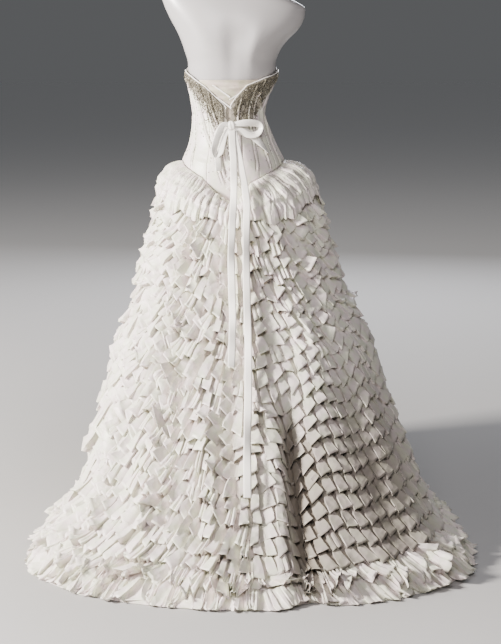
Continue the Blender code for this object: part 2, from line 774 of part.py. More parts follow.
def build_gores():
    for order, name in enumerate(GORES):
        outer, inner = [], []
        first = order * GORE_COLUMNS
        for column in range(first, first + GORE_COLUMNS + 1):
            angle = (column * COLUMN_STEP) % 360
            outside = [foundation(angle, slant) for slant in FACET_ROWS]
            inside = [gore_wall_inside(angle, s, p) for s, p in zip(FACET_ROWS, outside)]
            outside[0].z -= HIP_GAP / 2
            inside[0].z -= HIP_GAP / 2
            outer.append(outside)
            inner.append(inside)
        cloth_wall(name, with_seam_gaps(outer), with_seam_gaps(inner), taffeta())


def wave(waves, column, phase):
    """A flat-topped wave round a ring, from -1 to 1."""
    turn = 2 * math.pi * (waves * column / COLUMNS + phase)
    return min(max(1.4 * math.cos(turn), -1), 1)


def build_frills():
    for row in range(FRILL_ROWS):
        waves = [count for first, count in WAVES if first <= row][-1]
        last = row == FRILL_ROWS - 1
        outer, inner = [], []
        for column in range(COLUMNS):
            angle = column * COLUMN_STEP
            top = row_slant(angle, row * ROW_PITCH)
            bottom = row_slant(angle, min((row + 1 + FRILL_OVERLAP) * ROW_PITCH, 1))
            stand = FRILL_STAND * (1 + FRILL_WAVE * wave(waves, column, FRILL_PHASE * row))
            inside = [off_skirt(angle, top, FRILL_GAP), off_skirt(angle, bottom, stand)]
            heading = FRILL_GAP + FRILL_WALL
            outside = [off_skirt(angle, top, heading), off_skirt(angle, bottom, stand + FRILL_WALL)]
            if last:
                inside[1], outside[1] = hem_edge(angle, stand), hem_edge(angle, stand + 2 * FRILL_WALL)
            outer.append(outside)
            inner.append(inside)
        cloth_wall(f"frill_{row + 1:02d}", outer, inner, taffeta(), closed=True)


def hem_edge(angle, stand):
    """The last frill's lower edge stands out level, just above the floor."""
    normal = skirt_normal(angle, 1)
    level = Vector((normal.x, normal.y, 0)).normalized()
    point = foundation(angle, 1) + level * stand
    point.z = FLOOR_CLEARANCE
    return point


def build_flounce():
    """The gathered flounce under the hip seam; its folds run down from the seam."""
    outer, inner = [], []
    for column in range(COLUMNS):
        angle = column * COLUMN_STEP
        end = row_slant(angle, FRILL_OVERLAP * ROW_PITCH)
        outside, inside = [], []
        for share, stand in FLOUNCE_PROFILE:
            slant = -1 + (1 + end) * share
            fold = FOLD_DEPTH * wave(FLOUNCE_FOLDS, column, 0) * math.sin(math.pi * share)
            outside.append(off_skirt(angle, slant, stand + fold + FLOUNCE_WALL))
            inside.append(off_skirt(angle, slant, stand + fold))
        outer.append(outside)
        inner.append(inside)
    cloth_wall("hip_flounce", outer, inner, taffeta(), closed=True)


clear_scene()
dress = new_collection("wedding_dress_on_form")
build_form()
build_stand()
build_modesty_panel()
build_bodice()
build_piping()
build_lace("lace_band_left", 1)
build_lace("lace_band_right", -1)
build_lacing("lacing_inner", 1, LACING_STAND)
build_lacing("lacing_outer", -1, LACING_STAND + CORD_STEP)
build_gores()
build_flounce()
build_frills()
build_bow()
build_long_ends()
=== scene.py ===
"""A strapless white wedding dress with a laced back and a trained, frilled skirt, on a dress form.

Metres, +Z up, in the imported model's frame.  The train runs toward +Y and the wearer's left is +X.
Angles go round the Z axis: 0 at the centre back, 90 degrees at the wearer's left, 180 at the front.
"""

import json
import math

import bmesh
import bpy
import numpy as np
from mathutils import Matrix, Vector

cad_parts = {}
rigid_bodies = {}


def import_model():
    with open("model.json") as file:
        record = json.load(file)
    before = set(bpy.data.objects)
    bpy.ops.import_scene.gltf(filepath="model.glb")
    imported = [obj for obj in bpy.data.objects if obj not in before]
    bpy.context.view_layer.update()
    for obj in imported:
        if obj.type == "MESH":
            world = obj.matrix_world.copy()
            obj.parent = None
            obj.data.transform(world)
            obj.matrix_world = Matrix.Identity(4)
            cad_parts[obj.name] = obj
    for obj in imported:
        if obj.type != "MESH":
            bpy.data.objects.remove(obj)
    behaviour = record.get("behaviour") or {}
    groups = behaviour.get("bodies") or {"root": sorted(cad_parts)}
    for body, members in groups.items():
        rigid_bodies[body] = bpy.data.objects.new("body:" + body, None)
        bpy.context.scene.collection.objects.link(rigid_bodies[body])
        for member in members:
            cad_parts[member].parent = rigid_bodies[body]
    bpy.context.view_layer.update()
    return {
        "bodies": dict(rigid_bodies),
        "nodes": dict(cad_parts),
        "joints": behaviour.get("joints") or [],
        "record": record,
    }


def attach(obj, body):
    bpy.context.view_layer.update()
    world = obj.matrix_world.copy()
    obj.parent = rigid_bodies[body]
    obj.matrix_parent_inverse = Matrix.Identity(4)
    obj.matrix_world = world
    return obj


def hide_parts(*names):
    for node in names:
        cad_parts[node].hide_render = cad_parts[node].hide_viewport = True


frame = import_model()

# The camera stands behind the dress at a standing person's chest height and looks a little down at
# it, along the train.
bpy.ops.object.camera_add(
    location=(-0.056, 4.5, 1.35), rotation=(math.radians(79.55), 0, math.radians(180))
)
camera = bpy.context.object
camera.name = "viewpoint"
camera.data.lens = 82.45
camera.data.sensor_width = 36
bpy.context.scene.camera = camera


# The stand is turned and welded steel tube with a round plate foot, stove enamelled in white.  The
# pole goes up into a flange screwed under the form.
def linear(hex_colour):
    """An sRGB hex value as the linear colour that a shader takes."""
    channels = [int(hex_colour[i:i + 2], 16) / 255 for i in (1, 3, 5)]
    lifted = [c / 12.92 if c <= 0.04045 else ((c + 0.055) / 1.055) ** 2.4 for c in channels]
    return (*lifted, 1.0)


def add_node(material, kind, settings=(), inputs=()):
    """One shader node; an input is a value, or a (node, output) pair to link from."""
    node = material.node_tree.nodes.new(kind)
    for name, value in dict(settings).items():
        setattr(node, name, value)
    for socket, value in dict(inputs).items():
        if isinstance(value, tuple) and isinstance(value[0], bpy.types.Node):
            material.node_tree.links.new(value[0].outputs[value[1]], node.inputs[socket])
        else:
            node.inputs[socket].default_value = value
    return node


def new_finish(name, **constants):
    """A material with the values that are the same all over it, its shader, and its coordinates."""
    material = bpy.data.materials.new(name)
    material.use_nodes = True
    shader = material.node_tree.nodes["Principled BSDF"]
    for socket, value in constants.items():
        shader.inputs[socket.replace("_", " ")].default_value = value
    return material, shader, add_node(material, "ShaderNodeTexCoord")


def noise(material, place, scale, detail):
    """Noise in the piece's own space."""
    return add_node(material, "ShaderNodeTexNoise", inputs={
        "Vector": (place, "Object"), "Scale": scale, "Detail": detail})


def along_cloth(material, place, scale, detail):
    """Noise drawn out along the cloth's threads, by its UV map in metres."""
    stretched = add_node(material, "ShaderNodeMapping", inputs={
        "Vector": (place, "UV"), "Scale": scale})
    return add_node(material, "ShaderNodeTexNoise", {"noise_dimensions": "2D"}, {
        "Vector": (stretched, "Vector"), "Scale": 1.0, "Detail": detail})


def ranged(material, source, **limits):
    inputs = {name.replace("_", " "): value for name, value in limits.items()}
    return add_node(material, "ShaderNodeMapRange", inputs={"Value": source, **inputs})


def mixed(material, factor, first, second, **settings):
    """A colour between two, each a hex value or a (node, output) pair."""
    first, second = (linear(c) if isinstance(c, str) else c for c in (first, second))
    return add_node(material, "ShaderNodeMix", {"data_type": "RGBA", **settings}, {
        "Factor": factor, "A": first, "B": second})


def bumped(material, height, strength, distance, **inputs):
    return add_node(material, "ShaderNodeBump", inputs={
        "Height": height, "Strength": strength, "Distance": distance, **inputs})


def dressed(material, shader, tint, gloss=None, bump=None):
    """The material, with the nodes of its colour, gloss and relief linked to the shader."""
    for node, output, socket in (
        (tint, "Result", "Base Color"), (gloss, "Result", "Roughness"), (bump, "Normal", "Normal")
    ):
        if node:
            material.node_tree.links.new(node.outputs[output], shader.inputs[socket])
    return material


def enamelled_steel():
    """Stove enamel on steel: hard, smooth and slightly uneven, so highlights wander a little."""
    material, shader, place = new_finish("stove_enamel_white", IOR=1.5, Metallic=0.0)
    # orange peel of sprayed enamel, drawn at 3 mm where the real one is 1 mm
    peel = noise(material, place, 330.0, 2.0)
    cloud = noise(material, place, 9.0, 3.0)
    return dressed(
        material, shader,
        tint=mixed(material, (cloud, "Fac"), "#E2E1DC", "#EFEEEA"),
        gloss=ranged(material, (cloud, "Fac"), To_Min=0.24, To_Max=0.36),
        bump=bumped(material, (peel, "Fac"), 0.15, 0.0004),
    )


enamel = enamelled_steel()
for name in ("stand_base", "stand_pole", "stand_flange"):
    node = frame["nodes"][name]
    node.data.materials.clear()
    node.data.materials.append(enamel)


# The dress form is a moulded glass-fibre torso without head or arms, rubbed down and sprayed with a
# white satin lacquer.  It carries the dress: the bodice grips it and the hips fill the skirt's top.

# height, half width, shift to the left, depth behind, depth in front, at the bodice's outer face
BODY_SECTIONS = (
    (0.790, 0.135, -0.006, 0.100, 0.090),
    (0.860, 0.158, -0.006, 0.122, 0.104),
    (0.940, 0.168, -0.006, 0.132, 0.110),
    (1.020, 0.153, -0.004, 0.122, 0.106),
    (1.063, 0.133, -0.002, 0.104, 0.099),
    (1.110, 0.118, 0.003, 0.090, 0.094),
    (1.160, 0.108, 0.010, 0.082, 0.092),
    (1.210, 0.117, 0.008, 0.085, 0.099),
    (1.250, 0.131, 0.003, 0.090, 0.108),
    (1.285, 0.140, 0.000, 0.095, 0.114),
    (1.315, 0.141, 0.000, 0.098, 0.112),
    (1.350, 0.148, 0.000, 0.100, 0.106),
    (1.385, 0.166, -0.002, 0.099, 0.100),
    (1.425, 0.194, -0.004, 0.094, 0.090),
    (1.457, 0.211, -0.005, 0.086, 0.079),
    (1.485, 0.218, -0.005, 0.076, 0.069),
    (1.507, 0.213, -0.005, 0.067, 0.061),
    (1.525, 0.176, -0.002, 0.062, 0.056),
    (1.540, 0.120, 0.000, 0.059, 0.054),
    (1.555, 0.082, 0.000, 0.057, 0.053),
    (1.580, 0.062, 0.000, 0.055, 0.053),
    (1.612, 0.059, 0.000, 0.055, 0.053),
)
BODY_SQUARENESS = 0.94
BUST_HEIGHT, BUST_DEPTH, BUST_RISE = 1.262, 0.020, 0.048
BUST_ANGLE, BUST_SPREAD = 34, 17
SHOULDER_TILT = math.tan(math.radians(7))
TILT_START, TILT_FULL = 1.30, 1.46
FORM_INSET, BARE_INSET = 0.0090, 0.0040
FORM_FOOT, NECK_TOP = 0.790, 1.612
# angle, height, spread of angle, spread of height, depth: the spine and the shoulder blades
BACK_RELIEF = (
    (0, 1.330, 7, 0.110, -0.0030),
    (-5, 1.375, 15, 0.060, -0.0085),
    (-22, 1.365, 7, 0.070, 0.0035),
    (32, 1.375, 17, 0.042, 0.0030),
    (-32, 1.375, 17, 0.042, 0.0030),
)


def smooth_curve(rows, slopes, index, step, t):
    """Between a row and the next, a share t of the way, on a cubic with these slopes."""
    return (
        rows[index] * (2 * t**3 - 3 * t**2 + 1)
        + slopes[index] * step * (t**3 - 2 * t**2 + t)
        + rows[index + 1] * (3 * t**2 - 2 * t**3)
        + slopes[index + 1] * step * (t**3 - t**2)
    )


def steps_along(points):
    return np.linalg.norm(np.diff(points, axis=0), axis=1)


def lengths_along(points):
    """The distance from the first point to each, along the line."""
    return np.concatenate(([0], np.cumsum(steps_along(points))))


def on_section(table, heights):
    """Every column of a table of sections at these heights, on a smooth curve through its rows."""
    rows = np.array(table)
    slopes = np.gradient(rows, rows[:, 0], axis=0)
    heights = np.clip(heights, rows[0, 0], rows[-1, 0])
    index = np.clip(np.searchsorted(rows[:, 0], heights, side="right") - 1, 0, len(rows) - 2)
    step = (rows[index + 1, 0] - rows[index, 0])[..., None]
    t = (heights - rows[index, 0])[..., None] / step
    return smooth_curve(rows, slopes, index, step, t)


def smooth_step(start, end, place):
    t = np.clip((place - start) / (end - start), 0, 1)
    return t * t * (3 - 2 * t)


def turn_between(angle, other):
    return (angle - other + 180) % 360 - 180


def bell(distance, spread):
    return np.exp(-((distance / spread) ** 2))


def two_half_ellipses(angle, half_width, shift, widest, back, front, squareness=1.0):
    """x and y on a section whose back and front halves meet at its widest point."""
    side, behind = np.sin(np.radians(angle)), np.cos(np.radians(angle))
    x = shift + half_width * np.copysign(np.abs(side) ** squareness, side)
    reach = np.where(behind >= 0, back - widest, widest - front)
    return x, widest + reach * np.copysign(np.abs(behind) ** squareness, behind)


def body(angle, height):
    """The bodice's outer face, and the body above and below it."""
    angle, height = np.broadcast_arrays(np.asarray(angle, float), np.asarray(height, float))
    section = on_section(BODY_SECTIONS, height)
    bust = BUST_DEPTH * bell(height - BUST_HEIGHT, BUST_RISE) * (
        bell(turn_between(angle, 180 - BUST_ANGLE), BUST_SPREAD)
        + bell(turn_between(angle, 180 + BUST_ANGLE), BUST_SPREAD)
    )
    x, y = two_half_ellipses(
        angle, section[..., 1], section[..., 2], 0.0, section[..., 3], -section[..., 4],
        BODY_SQUARENESS,
    )
    lift = x * SHOULDER_TILT * smooth_step(TILT_START, TILT_FULL, height)
    return np.stack((x, y - bust, height + lift), axis=-1)


def normal_to(surface, angle, place, nudge=0.002):
    """The unit normals of a surface(angle, place), pointing away from the body."""
    round_it = surface(angle + 0.7, place) - surface(angle - 0.7, place)
    along_it = surface(angle, place + nudge) - surface(angle, place - nudge)
    normal = np.cross(round_it, along_it)
    normal /= np.linalg.norm(normal, axis=-1, keepdims=True)
    turn = np.radians(np.broadcast_to(angle, normal.shape[:-1]))
    inward = normal[..., 0] * np.sin(turn) + normal[..., 1] * np.cos(turn) < 0
    normal[inward] *= -1
    return normal


def off_body(angle, height, stand):
    angle, height = np.broadcast_arrays(np.asarray(angle, float), np.asarray(height, float))
    stand = np.broadcast_to(stand, angle.shape)
    return body(angle, height) + normal_to(body, angle, height) * stand[..., None]


def placed(name, data):
    item = bpy.data.objects.new(name, data)
    bpy.context.scene.collection.objects.link(item)
    return item


def shown(item, slot, *nodes):
    """The piece, riding on the root and standing for these nodes of the frame."""
    if nodes:
        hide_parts(*nodes)
    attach(item, "root")
    return item


def grid_mesh(name, points, material, closed=False, capped=False, crisp=40, recess=None):
    """A mesh through a grid of points, [column][row], with its cloth lengths as a UV map."""
    columns, rows = points.shape[:2]
    number = np.arange(columns * rows).reshape(columns, rows)
    if closed:
        number = np.vstack((number, number[:1]))
    faces = np.stack((number[:-1, :-1], number[:-1, 1:], number[1:, 1:], number[1:, :-1]), axis=-1)
    faces = faces.reshape(-1, 4).tolist()
    if capped:
        faces += [number[:-1, 0].tolist(), number[:-1, -1][::-1].tolist()]
    data = bpy.data.meshes.new(name)
    data.from_pydata(points.reshape(-1, 3).tolist(), [], faces)
    data.materials.append(material)
    beyond = points[:1] if closed else points[-1:]
    across = np.linalg.norm(np.diff(points, axis=0, append=beyond), axis=-1)
    along = np.linalg.norm(np.diff(points, axis=1, prepend=points[:, :1]), axis=-1)
    u = np.concatenate((np.zeros(1), np.cumsum(across.mean(axis=1))))
    v = np.cumsum(along.mean(axis=0))
    spans = len(number) - 1
    u_low, u_high = u[:spans, None] + 0 * v[None, :-1], u[1:spans + 1, None] + 0 * v[None, :-1]
    v_low, v_high = v[None, :-1] + 0 * u_low, v[None, 1:] + 0 * u_low
    corners = np.stack((u_low, v_low, u_low, v_high, u_high, v_high, u_high, v_low), axis=-1)
    corners = corners.reshape(-1)
    layer = data.uv_layers.new(name="cloth")
    flat = np.zeros(len(data.loops) * 2)
    flat[:corners.size] = corners
    layer.data.foreach_set("uv", flat)
    # painted shade, and on the bodice the net's tone, carried to the silk as a point attribute
    if recess is not None:
        shade_and_net_tone = data.attributes.new("fold_recess", "FLOAT", "POINT")
        shade_and_net_tone.data.foreach_set("value", recess.reshape(-1))
    data.shade_smooth()
    data.set_sharp_from_angle(angle=math.radians(crisp))
    return placed(name, data)


def finished(item, modifier, **settings):
    """Adds a modifier and applies it."""
    made = item.modifiers.new("made", modifier)
    for setting, value in settings.items():
        setattr(made, setting, value)
    bpy.ops.object.select_all(action="DESELECT")
    item.select_set(True)
    bpy.context.view_layer.objects.active = item
    bpy.ops.object.modifier_apply(modifier=made.name)
    return item


def satin_lacquer():
    """Satin lacquer over filled glass fibre: an even sheen with a faint hand-rubbed cloudiness."""
    material, shader, place = new_finish(
        "satin_lacquer_on_glass_fibre", IOR=1.5, Coat_Weight=0.4, Coat_Roughness=0.25
    )
    # 60 mm clouds of slightly thicker and thinner lacquer
    cloud = noise(material, place, 16.0, 4.0)
    # fine rubbing marks, drawn at 2 mm
    rubbed = noise(material, place, 480.0, 3.0)
    return dressed(
        material, shader,
        tint=mixed(material, (cloud, "Fac"), "#ABA8A7", "#B3B0AF"),
        gloss=ranged(material, (cloud, "Fac"), To_Min=0.34, To_Max=0.46),
        bump=bumped(material, (rubbed, "Fac"), 0.08, 0.0003),
    )


def back_relief(angle, height):
    return sum(
        depth * bell(turn_between(angle, middle), spread) * bell(height - level, rise)
        for middle, level, spread, rise, depth in BACK_RELIEF
    )


form_heights = np.concatenate((np.arange(FORM_FOOT, NECK_TOP - 0.001, 0.008), [NECK_TOP]))
form_turns, form_levels = np.meshgrid(np.arange(0, 360, 3.0), form_heights[::-1], indexing="ij")
covered = 1 - smooth_step(TILT_START + 0.01, TILT_START + 0.05, form_levels)
form_stand = -(BARE_INSET + (FORM_INSET - BARE_INSET) * covered)
form_points = off_body(form_turns, form_levels, form_stand + back_relief(form_turns, form_levels))
form = grid_mesh("form_torso_moulding", form_points, satin_lacquer(), closed=True, capped=True)
shown(form, "white_lacquer", "form_torso")


# The modesty panel is a single layer of taffeta behind the lacing, with a turned top edge.  It
# hangs loose from its two sides, so soft level folds lie across it.
HIP_SEAM_LEFT = (
    (0, 0.890), (8, 0.912), (20, 0.944), (32, 0.976), (50, 0.996),
    (75, 1.016), (90, 1.020), (130, 1.000), (160, 0.965), (180, 0.935),
)
HIP_SEAM_RIGHT = (
    (0, 0.890), (6, 0.922), (16, 0.962), (37, 0.988), (60, 1.006),
    (75, 1.018), (90, 1.020), (130, 1.000), (160, 0.965), (180, 0.935),
)
PANEL_TURN, PANEL_TOP, PANEL_RISE = 45, 1.262, 0.070
PANEL_FACE = -0.0046          # its outer face to the bodice's
PANEL_WALL, DEEPEST_PANEL_FOLD = 0.0008, 0.0028
# height, tilt per degree of turn, spread, depth
PANEL_FOLDS = (
    (1.250, 0.00012, 0.0032, 0.0022),
    (1.238, -0.00020, 0.0040, 0.0028),
    (1.225, 0.00028, 0.0036, 0.0026),
    (1.211, -0.00014, 0.0040, 0.0024),
    (1.196, 0.00030, 0.0036, 0.0018),
)


def edge_height(left, right, angle):
    """The height of an edge whose two halves have tables of their own."""
    turn = turn_between(np.asarray(angle, float), 0)
    on_left = np.interp(np.abs(turn), *zip(*left))
    on_right = np.interp(np.abs(turn), *zip(*right))
    return np.where(turn >= 0, on_left, on_right)


def hip_seam(angle):
    return edge_height(HIP_SEAM_LEFT, HIP_SEAM_RIGHT, angle)


def silk_taffeta(name, light, shade, deep, slub=0.4, creases=0.5, roughness=0.42):
    """Silk taffeta, plain woven: crisp, with a papery sheen, fine weft slubs and faint creases; its
    colour turns toward deep for the shade painted into a piece's folds and gaps, and on the bodice
    also for the net's darker tone.
    """
    material, shader, place = new_finish(
        name, IOR=1.5, Sheen_Weight=0.25, Sheen_Roughness=0.35, Roughness=roughness,
        Specular_IOR_Level=0.42,
    )
    shader.inputs["Sheen Tint"].default_value = linear("#FFFDF6")
    # weft slubs: 0.4 mm threads drawn 1.5 mm apart and 30 mm long
    weft = along_cloth(material, place, (33.0, 650.0, 1.0), 2.0)
    # handling creases 12 to 30 mm across, their edges crisp
    crumple = add_node(material, "ShaderNodeTexVoronoi", {"feature": "F1"}, {
        "Vector": (place, "Object"), "Scale": 48.0})
    cloud = noise(material, place, 11.0, 4.0)
    tint = mixed(material, (cloud, "Fac"), shade, light)
    # the silk's lustre turns from faint rose to faint green over patches 3 cm across
    patches = noise(material, place, 34.0, 1.0)
    turned = ranged(material, (patches, "Fac"), From_Min=0.36, From_Max=0.64)
    lustre = mixed(material, (turned, "Result"), "#FFF5F8", "#F6F9EA")
    tint = mixed(material, 1.0, (tint, "Result"), (lustre, "Result"), blend_type="MULTIPLY")
    # painted shade: the colour turns toward deep by a point attribute in each piece's folds, gaps
    # and grooves, and on the bodice also for the darker tone under the worked net
    recess = add_node(material, "ShaderNodeAttribute", {"attribute_name": "fold_recess"})
    tint = mixed(material, (recess, "Fac"), (tint, "Result"), deep)
    woven = bumped(material, (weft, "Fac"), slub, 0.0003)
    creased = bumped(material, (crumple, "Distance"), creases, 0.0030, Normal=(woven, "Normal"))
    return dressed(material, shader, tint=tint, bump=creased)


def cloth(name, points, material, thickness, nodes, closed=False,
          crisp=40, recess=None):
    """A thin shell of cloth through a grid of points, standing for its nodes and riding on the
    form.
    """
    item = grid_mesh(name, points, material, closed=closed, crisp=crisp, recess=recess)
    finished(item, "SOLIDIFY", thickness=thickness, offset=1)
    shown(item, "silk_taffeta", *nodes)


# deep is the colour of the painted shade in the casings' grooves and of the silk's tone under the
# worked net
bodice_silk = silk_taffeta(
    "silk_taffeta_bodice", light="#F1EEEA", shade="#E6E2DE", deep="#837C6B", creases=0.25,
    roughness=0.38,
)
# the panel's taupe is partly the cloth's own and partly painted shade, for it lies in the shade of
# the open V
panel_silk = silk_taffeta(
    "silk_taffeta_panel", light="#D6CFC2", shade="#BDB4A3", deep="#8A8270", creases=0.3
)
panel_turns = np.linspace(-PANEL_TURN, PANEL_TURN, 41)[:, None]
panel_shares = np.linspace(0, 1, 64)[None, :]
panel_levels = PANEL_TOP + (hip_seam(panel_turns) + PANEL_RISE - PANEL_TOP) * panel_shares
panel_folds = sum(
    depth * bell(panel_levels - level - tilt * panel_turns, spread) * bell(panel_turns, 30)
    for level, tilt, spread, depth in PANEL_FOLDS
)
# painted shade over the middle of the panel, lighter where its folds stand out
panel_painted_shade = np.clip(0.45 - panel_folds / DEEPEST_PANEL_FOLD, 0, 0.6) * bell(panel_turns, 30)
cloth(
    "modesty_panel_silk",
    off_body(panel_turns + 0 * panel_levels, panel_levels, PANEL_FACE + panel_folds),
    panel_silk, PANEL_WALL, ["modesty_panel"],
    recess=panel_painted_shade,
)


# The bodice is cut in nine taffeta panels over a boned foundation.  The bones lie in narrow
# stitched casings that slant in to the waist, and the back edges are laced together.
TOP_EDGE_LEFT = (
    (0, 1.176), (12, 1.200), (35, 1.243), (60, 1.272), (80, 1.286),
    (105, 1.292), (130, 1.316), (150, 1.330), (168, 1.322), (180, 1.312),
)
TOP_EDGE_RIGHT = (
    (0, 1.176), (8, 1.207), (21, 1.246), (45, 1.266), (80, 1.284),
    (105, 1.292), (130, 1.316), (150, 1.330), (168, 1.322), (180, 1.312),
)
LACING_GAP = ((0.890, 0.0010), (0.960, 0.0035), (1.120, 0.0050), (1.180, 0.0060))
# name, the angles of its two seams at the top, the angles of its two seams at the hip
BODICE_PANELS = (
    ("bodice_back_left", 0, 34, 0, 27),
    ("bodice_side_back_left", 34, 64, 27, 54),
    ("bodice_side_left", 64, 104, 54, 99),
    ("bodice_front_left", 104, 160, 99, 162),
    ("bodice_centre_front", 160, 200, 162, 198),
    ("bodice_front_right", 200, 256, 198, 261),
    ("bodice_side_right", 256, 296, 261, 306),
    ("bodice_side_back_right", 296, 326, 306, 333),
    ("bodice_back_right", 326, 360, 333, 360),
)
BODICE_WALL = 0.0016
HIP_GAP = 0.0022
# each bone's casing: (height, angle) down its length
BONES = (
    ((1.262, 66), (1.228, 58), (1.116, 38.6), (1.036, 19), (0.960, 9)),
    ((1.252, 45), (1.175, 33.7), (1.071, 16), (0.980, 8)),
    ((1.232, 29), (1.160, 22), (1.080, 9), (1.030, 5)),
    ((1.205, -17.6), (1.139, -13), (1.040, -8), (0.960, -6)),
    ((1.245, -36), (1.190, -34.5), (1.120, -31.5), (1.000, -26)),
    ((1.262, -47), (1.219, -44.6), (1.120, -43), (1.005, -44)),
    ((1.275, 82), (1.150, 70), (1.010, 52)),
    ((1.285, 98), (1.150, 92), (1.020, 88)),
    ((1.292, 120), (1.150, 116), (1.005, 118)),
    ((1.318, 146), (1.250, 140), (1.150, 146), (0.970, 156)),
    ((1.310, 180), (1.150, 180), (0.940, 180)),
    ((1.318, -146), (1.250, -140), (1.150, -146), (0.970, -156)),
    ((1.292, -120), (1.150, -116), (1.005, -118)),
    ((1.285, -98), (1.150, -92), (1.020, -88)),
    ((1.275, -78), (1.150, -70), (1.010, -66)),
)
BONE_HALF_WIDTH, BONE_HEIGHT = 0.0030, 0.0028
STITCH_ASIDE = 1.8 * BONE_HALF_WIDTH     # from a bone's middle to the stitched line beside it
# strain creases: angle, height, half length in degrees, tilt in metres per degree, spread, depth
CREASES = (
    (22, 1.128, 16, 0.00020, 0.0040, 0.0013), (30, 1.106, 20, 0.00034, 0.0050, 0.0015),
    (16, 1.085, 14, 0.00010, 0.0045, 0.0012), (44, 1.140, 18, -0.00015, 0.0050, 0.0013),
    (60, 1.120, 22, 0.00020, 0.0060, 0.0014), (80, 1.150, 24, -0.00010, 0.0060, 0.0014),
    (26, 1.168, 12, 0.00030, 0.0040, 0.0010), (12, 1.040, 10, 0.00040, 0.0050, 0.0012),
    (34, 1.020, 16, 0.00030, 0.0070, 0.0012), (-24, 1.150, 14, 0.00020, 0.0045, 0.0014),
    (-30, 1.112, 18, -0.00020, 0.0055, 0.0016), (-52, 1.130, 16, 0.00030, 0.0050, 0.0016),
    (-44, 1.090, 20, -0.00025, 0.0060, 0.0015), (-90, 1.150, 22, 0.00015, 0.0060, 0.0014),
    (-18, 1.070, 12, -0.00030, 0.0050, 0.0013), (120, 1.140, 26, 0.00010, 0.0060, 0.0012),
    (150, 1.165, 24, -0.00010, 0.0060, 0.0011), (-140, 1.150, 26, 0.00010, 0.0060, 0.0012),
    (-165, 1.120, 20, -0.00015, 0.0060, 0.0011), (-120, 1.170, 22, 0.00010, 0.0060, 0.0011),
)
# the slack fold at the right of the waist: height, angle of its ridge
SLACK_FOLD = ((1.085, -77), (1.116, -73), (1.168, -66), (1.205, -52), (1.240, -40))
SLACK_HEIGHT, SLACK_WIDTH = 0.0065, 0.0085


def top_edge(angle):
    return edge_height(TOP_EDGE_LEFT, TOP_EDGE_RIGHT, angle)


def clear_of_lacing(angle, height):
    """The angle, kept out of the gap between the laced back edges."""
    radius = on_section(BODY_SECTIONS, height)[..., 1]
    limit = np.degrees(np.interp(height, *zip(*LACING_GAP)) / radius)
    return np.clip(angle, limit, 360 - limit)


def casings(angle, height):
    """The bones' raised casings: 1 on a ridge, below 0 in the stitched lines beside it."""
    radius = on_section(BODY_SECTIONS, height)[..., 1]
    raised = np.zeros_like(height)
    for bone in BONES:
        levels, turns = zip(*sorted(bone))
        aside = np.abs(np.radians(turn_between(angle, np.interp(height, levels, turns)))) * radius
        along = smooth_step(levels[0] - 0.004, levels[0], height)
        along = along * smooth_step(levels[-1] + 0.004, levels[-1], height)
        beside = bell(aside - STITCH_ASIDE, 0.0016)
        raised += along * (bell(aside, BONE_HALF_WIDTH) - 0.6 * beside)
    return raised


def bodice_relief(angle, height):
    """Casings, strain creases and the slack fold, as a height over the panels."""
    radius = on_section(BODY_SECTIONS, height)[..., 1]
    relief = BONE_HEIGHT * casings(angle, height)
    for middle, level, reach, tilt, spread, depth in CREASES:
        turn = turn_between(angle, middle)
        line = height - level - tilt * turn
        trough = bell(line - 1.6 * spread, spread)
        relief += depth * bell(turn, reach) * (bell(line, spread) - 0.8 * trough)
    levels, turns = zip(*SLACK_FOLD)
    turn = np.radians(turn_between(angle, np.interp(height, levels, turns))) * radius
    along = smooth_step(levels[0] - 0.01, levels[0] + 0.03, height)
    along = along * smooth_step(levels[-1] + 0.01, levels[-1] - 0.03, height)
    relief += SLACK_HEIGHT * along * (bell(turn, SLACK_WIDTH) - 0.35 * bell(turn + 0.016, 0.009))
    return relief


# angle, depth below the top edge that the worked net reaches on each side; it thins out below
WORKED_LEFT = (
    (0, 0.105), (9, 0.098), (22, 0.096), (40, 0.080), (62, 0.062), (88, 0.050), (100, 0.0),
    (180, 0.0),
)
WORKED_RIGHT = (
    (0, 0.090), (9, 0.100), (22, 0.120), (44, 0.120), (64, 0.090), (88, 0.050), (100, 0.0),
    (180, 0.0),
)


def dulled(angle, height):
    """How grey the silk looks: the darker tone under the worked net, and painted shade in the
    stitched lines beside the casings.
    """
    turn = turn_between(angle, 0)
    on_left = np.interp(turn, *zip(*WORKED_LEFT))
    reach = np.where(turn >= 0, on_left, np.interp(-turn, *zip(*WORKED_RIGHT)))
    below = top_edge(angle) - height
    under_net = 0.88 * smooth_step(reach + 0.006, reach - 0.026, below) * (reach > 0.001)
    raised = casings(angle, height)
    # painted shade in the stitched grooves beside each casing
    beside = np.clip(-1.9 * raised, 0, 1) * 0.95
    return np.clip((under_net + beside) * (1 - 0.5 * np.clip(raised, 0, 1)), 0, 0.85)


def panel_grid(panel, step=0.0026, rows=64):
    _, top_start, top_end, hip_start, hip_end = panel
    columns = max(int(math.radians(top_end - top_start) * 0.13 / step), 6)
    share_across = np.linspace(0, 1, columns + 1)[:, None]
    share_down = np.linspace(0, 1, rows + 1)[None, :]
    top_turn = top_start + (top_end - top_start) * share_across
    hip_turn = hip_start + (hip_end - hip_start) * share_across
    angle = top_turn + (hip_turn - top_turn) * share_down
    top, bottom = top_edge(top_turn), hip_seam(hip_turn) + HIP_GAP / 2
    height = top + (bottom - top) * share_down
    seam = bell(share_across * columns * step, 0.0018)
    seam = seam + bell((1 - share_across) * columns * step, 0.0018)
    stand = bodice_relief(angle, height) - 0.0007 * seam
    return off_body(clear_of_lacing(angle, height), height, stand), dulled(angle, height)


